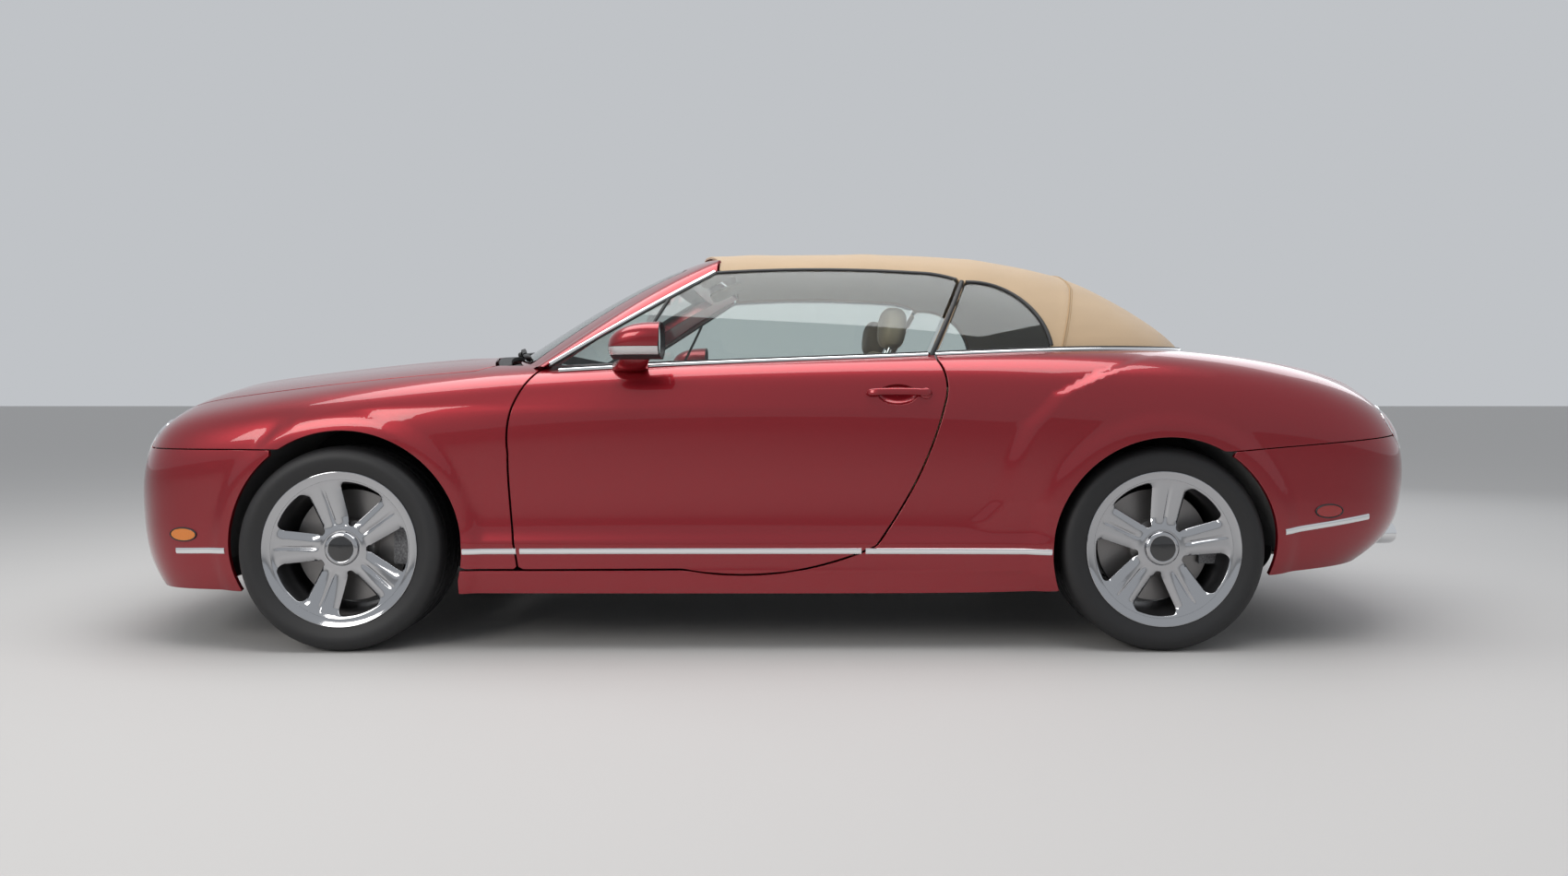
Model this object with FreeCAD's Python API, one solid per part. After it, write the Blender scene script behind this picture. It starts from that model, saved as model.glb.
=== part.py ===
"""Two-door convertible car with a raised fabric roof: body, doors, lids, wheels, cabin and running gear.

The frame is X forward, Y to the car's left and Z up, in millimetres. The origin is on the ground, half-way
along the car and on its centre plane. The body skin is one control cage: rows run from the lower lip of the
body up to the centre line of the bonnet and deck, and columns run from the middle of the nose, round the
corner and back to the middle of the tail. Each panel is cut from that skin along its real shut lines.
Left-hand pieces are made first and then mirrored.
"""
import FreeCAD, Part
import math
import os

V = FreeCAD.Vector
os.makedirs("parts", exist_ok=True)

# Overall sizes of the car
LENGTH = 4804.0
WHEELBASE = 2745.0
FRONT_OVERHANG = 950.0
FRONT_TRACK = 1623.0
REAR_TRACK = 1607.0
X_NOSE = LENGTH / 2
X_TAIL = -LENGTH / 2
X_FRONT_AXLE = X_NOSE - FRONT_OVERHANG
X_REAR_AXLE = X_FRONT_AXLE - WHEELBASE
Y_FRONT_WHEEL = FRONT_TRACK / 2
Y_REAR_WHEEL = REAR_TRACK / 2

# Wheels and wheel arches
TYRE_RADIUS = 343.0
TYRE_WIDTH = 275.0
RIM_FLANGE_RADIUS = 259.0
RIM_BED_RADIUS = RIM_FLANGE_RADIUS - 27.0
RIM_HALF_WIDTH = 116.0
RIM_TURN = {"front": 17.0, "rear": -7.0}     # how far the top spoke leans forward, in degrees
FRONT_ARCH_GAP = 50.0
REAR_ARCH_GAP = 34.0
FRONT_ARCH_RADIUS = TYRE_RADIUS + FRONT_ARCH_GAP
REAR_ARCH_RADIUS = TYRE_RADIUS + REAR_ARCH_GAP
HUB_HEIGHT = TYRE_RADIUS
X_FRONT_ARCH = X_FRONT_AXLE - 14.0
Z_FRONT_ARCH = HUB_HEIGHT + 3.0
X_REAR_ARCH = X_REAR_AXLE - 3.0
Z_REAR_ARCH = HUB_HEIGHT - 2.0

# Wall thicknesses and gaps
SKIN = 26.0
DOOR_INNER_Y = 800.0
DOOR_RETURN = 16.0
TRIM_PROUD = 5.0
ROOF_THICKNESS = 22.0
GLASS_THICKNESS = 5.0
SHUT_GAP = 6.0
SEAT_GAP = 0.3
OPENING_HALF_WIDTH = 792.0
BEYOND = 50.0               # how far a cutter stands out past the end of the car
END_REACH = 500.0           # how far it goes into the car

# Body sections between the bumpers, one row each. Columns: distance along the car, half width and height of
# the lower lip, half width at the waist, half width and height of the shoulder, height of the centre line.
SECTIONS = [
    # x, lip_y, lip_z, waist_y, shoulder_y, shoulder_z, top_z
    (X_NOSE - 417.0, 868.0, 200.0, 915.0, 745.0, 826.0, 918.0),
    (X_FRONT_AXLE, 905.0, 195.0, 968.0, 802.0, 908.0, 978.0),
    (930.0, 918.0, 195.0, 950.0, 836.0, 946.0, 1024.0),
    (300.0, 918.0, 195.0, 945.0, 862.0, 974.0, 1000.0),
    (-450.0, 918.0, 195.0, 945.0, 866.0, 1000.0, 1016.0),
    (-900.0, 914.0, 200.0, 962.0, 850.0, 1018.0, 1034.0),
    (X_REAR_AXLE, 900.0, 225.0, 988.0, 800.0, 1024.0, 1044.0),
    (X_TAIL + 622.0, 872.0, 262.0, 938.0, 700.0, 976.0, 1012.0),
]
# Height shares of the rows between lip and shoulder, and how far each stands in from the waist
SIDE_ROWS = [(0.16, 12.0), (0.46, 14.0), (0.74, -2.0)]
ROLL_HEIGHT_SHARE = 0.93
ROLL_WIDTH_SHARE = 0.24
CROWN_ROWS = [(0.76, 0.60), (0.38, 1.0), (0.0, 1.0)]

# Where each row meets the centre plane at the nose and at the tail: set-back from the end of the car, and
# height
NOSE_ROWS = [(95.0, 195.0), (20.0, 265.0), (-2.0, 380.0), (-4.0, 500.0), (34.0, 645.0), (84.0, 738.0),
             (135.0, 795.0),
             (195.0, 830.0), (275.0, 852.0)]
TAIL_ROWS = [(190.0, 305.0), (50.0, 340.0), (-2.0, 440.0), (-4.0, 560.0), (25.0, 680.0), (75.0, 790.0),
             (92.0, 872.0),
             (100.0, 918.0), (205.0, 938.0)]
# Columns round the corners: share of the way out to the next section's width, and of the way along to it
NOSE_COLUMNS = [(0.0, 0.0), (0.33, 0.0), (0.66, 0.22), (0.93, 0.58)]
TAIL_COLUMNS = [(0.0, 0.0), (0.33, 0.0), (0.66, 0.20), (0.93, 0.46)]

# Sections of the fabric roof and side windows. Columns: distance along the car, half width and height at
# the belt, half width and height of the roof rail, height of the centre line. The first one only carries the
# side glass forward.
ROOF_SECTIONS = [
    # x, belt_y, belt_z, rail_y, rail_z, roof_z
    (950.0, 858.0, 900.0, 600.0, 1345.0, 1372.0),
    (300.0, 860.0, 920.0, 600.0, 1352.0, 1398.0),
    (-300.0, 858.0, 940.0, 605.0, 1358.0, 1413.0),
    (-700.0, 850.0, 950.0, 600.0, 1340.0, 1402.0),
    (-1000.0, 832.0, 955.0, 585.0, 1290.0, 1350.0),
]
ROOF_ROWS = [(0.0, 0.0), (0.10, 0.34), (0.62, 0.80), (1.0, 1.0)]
ROOF_CROWN_ROWS = [(0.74, 0.70), (0.36, 1.0), (0.0, 1.0)]
ROOF_END_X = -1555.0
ROOF_END_ROWS = [(-20.0, 955.0), (10.0, 1035.0), (120.0, 1110.0), (225.0, 1175.0), (310.0, 1235.0),
                 (375.0, 1280.0),
                 (430.0, 1320.0)]
ROOF_CORNER_COLUMNS = [(0.0, 0.0), (0.34, 0.0), (0.72, 0.06), (0.94, 0.42)]


def section_rows(section):
    """Cage points of one planar body section, from the lower lip to the centre line."""
    x, lip_y, lip_z, waist_y, shoulder_y, shoulder_z, top_z = section
    rise = shoulder_z - lip_z
    rows = [V(x, lip_y, lip_z)]
    rows += [V(x, waist_y - inset, lip_z + share * rise) for share, inset in SIDE_ROWS]
    rows.append(V(x, waist_y - ROLL_WIDTH_SHARE * (waist_y - shoulder_y), lip_z + ROLL_HEIGHT_SHARE * rise))
    rows.append(V(x, shoulder_y, shoulder_z))
    crown = top_z - shoulder_z
    rows += [V(x, share * shoulder_y, shoulder_z + up * crown) for share, up in CROWN_ROWS]
    return rows


def roof_rows(section):
    """Cage points of one section of the roof, from the belt to the centre line."""
    x, belt_y, belt_z, rail_y, rail_z, roof_z = section
    rows = [V(x, belt_y + out * (rail_y - belt_y), belt_z + up * (rail_z - belt_z)) for out, up in ROOF_ROWS]
    rows += [V(x, share * rail_y, rail_z + up * (roof_z - rail_z)) for share, up in ROOF_CROWN_ROWS]
    return rows


def corner_rows(end_x, end_rows, section, out_share, back_share):
    """Cage points of one column that wraps round the nose, the tail or the back of the roof."""
    direction = 1.0 if end_x > 0 else -1.0
    rows = []
    for (setback, height), inner in zip(end_rows, section):
        start_x = end_x - direction * setback
        rise_share = back_share ** 0.8
        rows.append(V(start_x + (inner.x - start_x) * back_share, inner.y * out_share,
                      height + (inner.z - height) * rise_share))
    return rows


def body_cage():
    sections = [section_rows(s) for s in SECTIONS]
    nose = [corner_rows(X_NOSE, NOSE_ROWS, sections[0], o, b) for o, b in NOSE_COLUMNS]
    tail = [corner_rows(X_TAIL, TAIL_ROWS, sections[-1], o, b) for o, b in reversed(TAIL_COLUMNS)]
    return nose + sections + tail


def roof_cage():
    sections = [roof_rows(s) for s in ROOF_SECTIONS]
    back = [corner_rows(ROOF_END_X, ROOF_END_ROWS, sections[-1], o, b)
            for o, b in reversed(ROOF_CORNER_COLUMNS)]
    return sections + back


def clamped(count, degree=3):
    """Knots and multiplicities of a clamped uniform spline."""
    spans = count - degree
    return [float(i) for i in range(spans + 1)], [degree + 1] + [1] * (spans - 1) + [degree + 1]


def cage_surface(columns):
    """The smooth surface over a control cage."""
    uk, um = clamped(len(columns))
    vk, vm = clamped(len(columns[0]))
    surface = Part.BSplineSurface()
    surface.buildFromPolesMultsKnots(columns, um, vm, uk, vk, False, False, 3, 3)
    return surface


def pole_parameters(count, degree=3):
    """The parameter at which each pole pulls most."""
    knots, mults = clamped(count, degree)
    flat = [k for k, m in zip(knots, mults) for _ in range(m)]
    return [sum(flat[i + 1:i + degree + 1]) / degree for i in range(count)]


def offset_cage(columns, depth):
    """The cage moved inwards by a wall thickness, with what lies on the centre plane kept on it."""
    surface = cage_surface(columns)
    us, vs = pole_parameters(len(columns)), pole_parameters(len(columns[0]))
    margin = 0.02
    moved = []
    for u, column in zip(us, columns):
        row = []
        for v, pole in zip(vs, column):
            du, dv = surface.tangent(min(max(u, margin), us[-1] - margin),
                                     min(max(v, margin), vs[-1] - margin))
            normal = du.cross(dv).normalize()
            if abs(pole.y) < 1e-6:
                normal = V(normal.x, 0, normal.z).normalize()
            row.append(pole - normal * depth)
        moved.append(row)
    return moved


def wall(columns, depth):
    """A closed half wall between a cage's surface and the same surface moved inwards."""
    outer = cage_surface(columns)
    inner = cage_surface(offset_cage(columns, depth))
    u_end, v_end = outer.bounds()[1], outer.bounds()[3]
    faces = [outer.toShape(), inner.toShape()]
    for curve in (lambda s: s.uIso(0), lambda s: s.uIso(u_end), lambda s: s.vIso(0), lambda s: s.vIso(v_end)):
        faces.append(Part.makeRuledSurface(curve(outer).toShape(), curve(inner).toShape()))
    solid = Part.makeSolid(Part.makeShell(faces))
    if not solid.isClosed():
        shell = Part.makeShell(faces)
        shell.sewShape()
        solid = Part.makeSolid(shell)
    return solid if solid.Volume > 0 else solid.reversed()


def interior(columns, depth):
    """The half space inside a wall, down to the lower lip."""
    inner = cage_surface(offset_cage(columns, depth))
    u_end, v_end = inner.bounds()[1], inner.bounds()[3]
    lip = inner.vIso(0)
    poles = [V(p.x, 0, p.z) for p in lip.getPoles()]
    middle = Part.BSplineCurve()
    middle.buildFromPolesMultsKnots(poles, lip.getMultiplicities(), lip.getKnots(), False, lip.Degree)
    floor = Part.makeRuledSurface(lip.toShape(), middle.toShape())
    side = Part.Face(Part.Wire(Part.sortEdges([inner.uIso(0).toShape(), inner.vIso(v_end).toShape(),
                                               inner.uIso(u_end).toShape(), middle.toShape()])[0]))
    shell = Part.makeShell([inner.toShape(), floor, side])
    shell.sewShape()
    solid = Part.makeSolid(shell)
    return solid if solid.Volume > 0 else solid.reversed()


def outline(place, start, *steps):
    """A closed face. Each step is a point to draw a line to, or a middle and an end point of an arc."""
    edges, here = [], place(*start)
    first = here
    for step in steps:
        if isinstance(step[0], tuple):
            middle, end = place(*step[0]), place(*step[1])
            edges.append(Part.Arc(here, middle, end).toShape())
        else:
            end = place(*step)
            edges.append(Part.LineSegment(here, end).toShape())
        here = end
    if (here - first).Length > 1e-6:
        edges.append(Part.LineSegment(here, first).toShape())
    return Part.Face(Part.Wire(edges))


def side_point(x, z):
    return V(x, 0, z)


def plan_point(x, y):
    return V(x, y, 0)


def front_point(y, z):
    return V(0, y, z)


def grown(face, gap):
    return face.makeOffset2D(gap) if gap else face


def side_prism(face, gap=0.0, low=0.0, high=1200.0):
    """A side-view outline carried across the car, from low to high in Y."""
    prism = grown(face, gap).extrude(V(0, high - low, 0))
    prism.translate(V(0, low, 0))
    return prism


def plan_prism(face, gap=0.0, low=0.0, high=1500.0):
    """A plan-view outline carried up, from low to high in Z."""
    prism = grown(face, gap).extrude(V(0, 0, high - low))
    prism.translate(V(0, 0, low))
    return prism


def front_prism(face, low, high, gap=0.0):
    """A front-view outline carried along the car, from low to high in X."""
    prism = grown(face, gap).extrude(V(high - low, 0, 0))
    prism.translate(V(low, 0, 0))
    return prism


def nose_prism(face, gap=0.0):
    """A front-view outline carried through the front end."""
    return front_prism(face, X_NOSE - END_REACH, X_NOSE + BEYOND, gap)


def tail_prism(face, gap=0.0):
    """A front-view outline carried through the back end."""
    return front_prism(face, X_TAIL - BEYOND, X_TAIL + END_REACH, gap)


def box(x0, x1, y0, y1, z0, z1):
    return Part.makeBox(x1 - x0, y1 - y0, z1 - z0, V(x0, y0, z0))


def cylinder_y(x, z, radius, y0, y1):
    return Part.makeCylinder(radius, y1 - y0, V(x, y0, z), V(0, 1, 0))


def mirrored(shape):
    return shape.mirror(V(0, 0, 0), V(0, 1, 0))


def both(shape):
    """A piece that crosses the centre plane, from its left half."""
    whole = shape.fuse(mirrored(shape))
    if whole.isValid() and len(whole.Solids) == 1:
        return whole
    outside = [f for f in shape.Faces if f.BoundBox.YMax > 1e-3 or f.BoundBox.YLength > 1e-3]
    shell = Part.makeShell(outside + [mirrored(f) for f in outside])
    shell.sewShape(1e-3)
    whole = Part.makeSolid(shell)
    return whole if whole.Volume > 0 else whole.reversed()


def cut_all(shape, *tools):
    for tool in tools:
        shape = shape.cut(tool)
    return shape


def largest(shape):
    """The main solid of a cut, without offcuts."""
    return max(shape.Solids, key=lambda s: s.Volume)


def save(name, *shapes):
    solids = [s for shape in shapes for s in shape.Solids]
    whole = solids[0] if len(solids) == 1 else Part.makeCompound(solids)
    whole.exportStep(os.path.join("parts", name + ".step"))


def save_pair(name, shape):
    save(name + "_left", shape)
    save(name + "_right", mirrored(shape))


# Shut lines seen from the side
DOOR_LINE = outline(side_point, (768, 1100), (768, 962), (805, 937), ((878, 801), (887, 665)),
                    ((882, 490), (859, 290)),
                    (857, 276), (310, 278), ((-150, 292), (-331, 356)), ((-478, 600), (-560, 835)),
                    ((-566, 905), (-540, 975)), (-525, 1100))
WING_LINE = outline(side_point, (700, 277), (X_FRONT_AXLE, 277), (X_FRONT_AXLE, 676), (X_NOSE - 227, 676),
                    (X_NOSE - 227, 1150),
                    (700, 1150))
REAR_JOINT_FRONT_Z = 652.0
REAR_JOINT_BACK_Z = 742.0
REAR_BUMPER_LINE = outline(side_point, (X_REAR_AXLE, 100), (X_REAR_AXLE, REAR_JOINT_FRONT_Z),
                           (X_TAIL - 100, REAR_JOINT_BACK_Z), (X_TAIL - 100, 100))

# Shut lines seen from above, left half and right half together
BONNET_LINE = outline(plan_point, (1078, 0), ((1062, 380), (985, 735)), (1040, 795),
                      ((X_FRONT_AXLE + 198, 752), (X_NOSE - 342, 655)), ((X_NOSE - 242, 560), (X_NOSE - 207,
                                        400)),
                      ((X_NOSE - 184, 0), (X_NOSE - 207, -400)), ((X_NOSE - 242, -560), (X_NOSE - 342, -655)),
                      ((X_FRONT_AXLE + 198, -752), (1040, -795)), (985, -735), ((1062, -380), (1078, 0)))
SCUTTLE_LINE = outline(plan_point, (1066, 0), ((1050, 380), (975, 728)), (925, 748), ((1002, 380), (1020, 0)),
                       ((1002, -380), (925, -748)), (975, -728), ((1050, -380), (1066, 0)))
CABIN_LINE = outline(plan_point, (1019, 0), ((1001, 380), (924, 749)), (790, OPENING_HALF_WIDTH),
                     (-700, OPENING_HALF_WIDTH - 2), ((-1080, 828), (-1320, 740)), ((-1500, 520), (-1556, 0)),
                     ((-1500, -520), (-1320, -740)), ((-1080, -828), (-700, -OPENING_HALF_WIDTH + 2)),
                     (790, -OPENING_HALF_WIDTH), (924, -749), ((1001, -380), (1019, 0)))
LID_LINE = outline(plan_point, (-1648, 0), ((-1645, 330), (-1625, 640)), ((X_TAIL + 452, 640), (X_TAIL + 202,
                                        540)),
                   (X_TAIL - 98, 505), (X_TAIL - 98, -505), (X_TAIL + 202, -540),
                   ((X_TAIL + 452, -640), (-1625, -640)), ((-1645, -330), (-1648, 0)))
LID_FOOT_Z = 560.0

# Window outlines seen from the side
DOOR_GLASS_LINE = outline(side_point, (775, 900), (775, 950), (215, 1288), ((-130, 1300), (-500, 1288)),
                          ((-570, 1281), (-641, 1262)), (-512, 1000), (-500, 900))
QUARTER_GLASS_LINE = outline(side_point, (-545, 985), (-672, 1254), ((-850, 1197), (-944, 1024)), (-944, 985))
ROOF_PLAN_LINE = outline(plan_point, (206, 608), ((278, 310), (302, 0)), ((278, -310), (206, -608)),
                         (206, -1000),
                         (-2000, -1000), (-2000, 1000), (206, 1000))

DECK_LINE = outline(plan_point, (-1300, 642), (-1636, 642), ((-1640, 0), (-1636, -642)), (-1300, -642))
REAR_GLASS_LINE = outline(front_point, (-300, 1108), ((-345, 1125), (-335, 1170)),
                          ((-310, 1225), (-250, 1236)),
                          ((0, 1246), (250, 1236)), ((310, 1225), (335, 1170)), ((345, 1125), (300, 1108)))
SCREEN_LINE = outline(front_point, (-728, 968), (-558, 1312), ((0, 1348), (558, 1312)), (728, 968),
                      ((0, 1000),
                      (-728, 968)))

# Mirror head and arm, and the handle bar
MIRROR_PLAN = outline(plan_point, (372, 920), (372, 1104), ((458, 1098), (522, 1046)),
                      ((548, 1000), (520, 952)),
                      ((455, 918), (372, 920)))
MIRROR_FRONT = outline(front_point, (930, 984), ((1010, 970), (1084, 984)), ((1106, 1032), (1090, 1080)),
                       ((1015, 1098), (936, 1086)), ((916, 1035), (930, 984)))
MIRROR_SIDE = outline(side_point, (370, 966), (500, 972), ((548, 1000), (552, 1030)),
                      ((530, 1082), (430, 1100)),
                      (370, 1100))
MIRROR_ARM_X = 480.0
MIRROR_ARM_FRONT = outline(front_point, (836, 930), (880, 946), ((935, 962), (970, 976)), (970, 1000),
                           ((935, 982), (880, 970)), (836, 968))
MIRROR_ARM_PLAN = outline(plan_point, (414, 830), (546, 830), ((525, 890), (512, 980)), (432, 980),
                          ((430, 890), (414, 830)))
X_HANDLE = -409.0
Z_HANDLE = 862.0
HANDLE_PROUD = 26.0
HANDLE_THICKNESS = 12.0
HANDLE_LINE = outline(side_point, (X_HANDLE - 100, Z_HANDLE - 10), (X_HANDLE + 100, Z_HANDLE - 10),
                      ((X_HANDLE + 109, Z_HANDLE), (X_HANDLE + 100, Z_HANDLE + 10)),
                      (X_HANDLE - 100, Z_HANDLE + 10),
                      ((X_HANDLE - 109, Z_HANDLE), (X_HANDLE - 100, Z_HANDLE - 10)))

# Windscreen, bottom to top: centre distance and height, side distance, half width and height
SCREEN_ROWS = [
    # centre_x, centre_z, side_x, side_y, side_z
    (1010.0, 998.0, 838.0, 812.0, 940.0),
    (790.0, 1143.0, 640.0, 778.0, 1085.0),
    (545.0, 1306.0, 405.0, 700.0, 1258.0),
    (300.0, 1380.0, 208.0, 606.0, 1345.0),
]
SCREEN_COLUMNS = [(0.0, 0.0), (0.42, 0.0), (0.80, 0.45), (1.0, 1.0)]   # out share, back share
FRAME_DEPTH = 46.0
BELT_JOINT_Z = 968.0        # above this the door's edge is its glass


def screen_cage():
    """Cage of the windscreen, from the centre plane to the side, bottom to top."""
    columns = []
    for out, back in SCREEN_COLUMNS:
        columns.append([V(cx + (sx - cx) * back, sy * out, cz + (sz - cz) * back)
                        for cx, cz, sx, sy, sz in SCREEN_ROWS])
    return columns


# Openings in the nose and tail, seen along the car
GRILLE_LINE = outline(front_point, (-255, 505), ((-320, 560), (-345, 700)), ((-335, 768), (-270, 785)),
                      ((0, 800), (270, 785)), ((335, 768), (345, 700)), ((320, 560), (255, 505)),
                      ((0, 495), (-255, 505)))
GRILLE_FRAME = 16.0
MIDDLE_INTAKE_LINE = outline(front_point, (-330, 262), ((-372, 300), (-350, 392)), ((0, 404), (350, 392)),
                             ((372, 300), (330, 262)), ((0, 254), (-330, 262)))
OUTER_INTAKE_LINE = outline(front_point, (452, 268), ((425, 320), (440, 400)), ((600, 408), (735, 396)),
                            ((752, 330), (715, 276)), ((580, 262), (452, 268)))
HEADLAMPS = [(478.0, 686.0, 92.0), (668.0, 700.0, 68.0)]     # y, z, radius
TAIL_LAMP = (648.0, 742.0, 128.0, 78.0)                       # y, z, half width, half height
EXHAUST = (520.0, 352.0, 82.0, 46.0)                          # y, z, half width, half height
LAMP_DEPTH = 70.0
TIP_GAP = 12.0                                                # free space round an exhaust tip
CENTRE_BAR_HALF_WIDTH = 9.0
MESH_PITCH = 72.0
MESH_BAR = 13.0
MESH_ROWS = 17
MESH_COLUMNS = 12
MESH_THICKNESS = 6.0
MESH_LAP = 12.0
SMALL_MESH_LAP = 5.0
PLATE_LINE = outline(front_point, (-285, 596), (-270, 742), ((0, 752), (270, 742)), (285, 596))
MARKER_HALF = (48.0, 21.0)
FRONT_MARKER = (X_NOSE - 404.0, 387.0)
REAR_MARKER = (X_TAIL + 549.0, 468.0)
STRIP_LOW_Z = 327.0
STRIP_HIGH_Z = 349.0
FRONT_STRIP_LINE = outline(side_point, (X_NOSE - 378, 322), (X_NOSE - 378, 341), (X_NOSE - 560, 346),
                           (X_NOSE - 560, 327))
REAR_STRIP_LINE = outline(side_point, (X_REAR_AXLE - 400, 392), (X_REAR_AXLE - 400, 412), (X_TAIL + 392, 455),
                          (X_TAIL + 392, 435))
FLOOR_Z = 214.0
FLOOR_THICKNESS = 14.0
LINER_FRONT_RADIUS = FRONT_ARCH_RADIUS + 33.0
LINER_REAR_RADIUS = REAR_ARCH_RADIUS + 19.0
LINER_WALL = 6.0
FRONT_LINER_Y = 481.0
REAR_LINER_Y = 640.0
STEER_AXIS_Y = 740.0
WHEEL_FACE_Y = 56.0
REAR_SEAT_HALF_WIDTH = REAR_LINER_Y - LINER_WALL - 8.0
ENGINE_HALF_WIDTH = 340.0
X_ENGINE_MOUNT = X_FRONT_AXLE + 148.0
RAIL_IN_Y = 396.0
RAIL_OUT_Y = 456.0
RAIL_LOW_Z = 330.0
RAIL_TOP_Z = 430.0
CROSS_BEAM_Z = 422.0
REAR_RAIL_IN_Y = 470.0
REAR_RAIL_OUT_Y = 540.0
REAR_RAIL_LOW_Z = 262.0
BOOT_FLOOR_Z = 330.0
X_SILENCER_BACK = X_TAIL + 330.0
SILENCER_LENGTH = 230.0
X_PIPE_ROOM = X_SILENCER_BACK + 50.0
SILENCER_HALF_WIDTH = 400.0
TIP_WALL = 6.0
TIP_SETBACK = 146.0         # how far a tip ends short of the tail
X_PLATE_PAN = X_TAIL + 45.0
KNUCKLE_TOP = 165.0
KNUCKLE_BOTTOM = -150.0
ARM_THICKNESS = 22.0
COLUMN_RADIUS = 24.0
COLUMN_LENGTH = 178.0


def oval(y, z, half_width, half_height, place=front_point, gap=0.0):
    """An oval face, made larger all round by a gap. Half sizes that are equal give a circle."""
    half_width, half_height = half_width + gap, half_height + gap
    if abs(half_width - half_height) < 1e-6:
        edge = Part.Circle(place(y, z), place(1, 0).cross(place(0, 1)), half_width).toShape()
    elif half_width > half_height:
        edge = Part.Ellipse(place(y + half_width, z), place(y, z + half_height), place(y, z)).toShape()
    else:
        edge = Part.Ellipse(place(y, z + half_height), place(y - half_width, z), place(y, z)).toShape()
    return Part.Face(Part.Wire([edge]))


def revolved(points, y=0.0):
    """A ring about the Y axis from a profile of (distance along the axis, radius)."""
    corners = [V(0, y + a, r) for a, r in points]
    return Part.Face(Part.makePolygon(corners + corners[:1])).revolve(V(0, y, 0), V(0, 1, 0), 360)


def placed(shape, x, y, z):
    copy = shape.copy()
    copy.translate(V(x, y, z))
    return copy


def liner(x, z, radius, y, floor_z):
    """The inner skin of a wheel arch: a half drum with its inboard wall."""
    drum = cylinder_y(x, z, radius + LINER_WALL, y - LINER_WALL, 1200).cut(cylinder_y(x, z, radius, y, 1201))
    return drum.common(box(x - 600, x + 600, 0, 1200, floor_z, 1200)).common(inside)


def seat(x, y):
    cushion = side_prism(outline(side_point, (380, 330), ((415, 360), (395, 440)), ((340, 478), (250, 470)),
                                 (-130, 440), (-150, 320)), 0, -262, 262)
    back = side_prism(outline(side_point, (-150, 330), (-60, 450), (-235, 985), ((-290, 1030), (-345, 985)),
                              (-255, 420)), 0,
                      -255, 255)
    head = side_prism(outline(side_point, (-270, 1030), (-345, 1025), ((-395, 1090), (-350, 1180)),
                              ((-300, 1195), (-265, 1150))), 0, -120, 120)
    base = box(-120, 360, -200, 200, FLOOR_Z + SEAT_GAP, 340)
    return placed(base.fuse(cushion).fuse(back).fuse(head).removeSplitter(), x, y, 0)


def arm(x, ball_y, inner_y, half_width, waist, waist_y, z):
    """A wishbone from two pivots inboard to a ball joint below or above a knuckle."""
    frame_side = outline(plan_point, (x - half_width, inner_y), (x - waist, waist_y), (x - 20, ball_y),
                         ((x, ball_y + 20), (x + 20, ball_y)), (x + waist, waist_y),
                         (x + half_width, inner_y))
    window = outline(plan_point, (x - half_width + 34, inner_y + 30), (x, waist_y - 10),
                     (x + half_width - 34, inner_y + 30))
    return plan_prism(frame_side, 0, z, z + ARM_THICKNESS).cut(plan_prism(window, 0, z - 1,
                                        z + ARM_THICKNESS + 1))


# Panels cut from the body skin
skin = wall(body_cage(), SKIN)
body_solid = interior(body_cage(), 0.0)
lamp_skin = wall(body_cage(), LAMP_DEPTH)
inside = interior(body_cage(), SKIN + SEAT_GAP)
trim_skin = wall(offset_cage(body_cage(), -TRIM_PROUD), 2 * TRIM_PROUD)
front_arch = cylinder_y(X_FRONT_ARCH, Z_FRONT_ARCH, FRONT_ARCH_RADIUS, 300, 1200)
rear_arch = cylinder_y(X_REAR_ARCH, Z_REAR_ARCH, REAR_ARCH_RADIUS, 300, 1200)

lamp_holes = [nose_prism(oval(y, z, r, r)) for y, z, r in HEADLAMPS]
tail_hole = tail_prism(oval(*TAIL_LAMP))
exhaust_hole = tail_prism(oval(*EXHAUST, gap=TIP_GAP))

door_core = body_solid.common(side_prism(DOOR_LINE, -DOOR_RETURN)).common(box(-700, 1000, DOOR_INNER_Y, 1100,
                                        100, 1100))
door = skin.common(side_prism(DOOR_LINE)).common(box(-700, 1000, DOOR_INNER_Y, 1100, 100,
                                        1100)).fuse(door_core)
door = largest(door)
wing = largest(cut_all(skin.common(side_prism(WING_LINE)), side_prism(DOOR_LINE, SHUT_GAP),
                       plan_prism(BONNET_LINE, SHUT_GAP, 600), plan_prism(SCUTTLE_LINE, SEAT_GAP, 600),
                       plan_prism(CABIN_LINE, 0, 600), front_arch, *lamp_holes))
bonnet = both(skin.common(plan_prism(BONNET_LINE, 0, 600)))
plate_box = box(X_TAIL - 50, X_TAIL + 27, -1, 400, 500, 900)
plate_pan = box(X_TAIL - 50, X_PLATE_PAN, -1, 400, LID_FOOT_Z, 900)
lid = skin.common(plan_prism(LID_LINE, 0, LID_FOOT_Z))
lid = lid.fuse(body_solid.common(front_prism(PLATE_LINE, X_TAIL - 50, X_TAIL + 200, 20)).common(plate_pan))
lid = both(largest(lid.cut(front_prism(PLATE_LINE, X_TAIL - 50, X_TAIL + 200).common(plate_box))))
scuttle = both(largest(skin.common(plan_prism(SCUTTLE_LINE, 0, 600))))
quarter = largest(cut_all(skin.common(box(X_TAIL - 50, 1060, -1, 1200, 100, 1300)),
                          side_prism(DOOR_LINE, SHUT_GAP),
                          side_prism(WING_LINE, SHUT_GAP), side_prism(REAR_BUMPER_LINE, SEAT_GAP),
                          plan_prism(CABIN_LINE, 0, 600), plan_prism(LID_LINE, SHUT_GAP,
                                        LID_FOOT_Z - SHUT_GAP),
                          plan_prism(DECK_LINE, SEAT_GAP, 600), front_arch, rear_arch, tail_hole))
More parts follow.
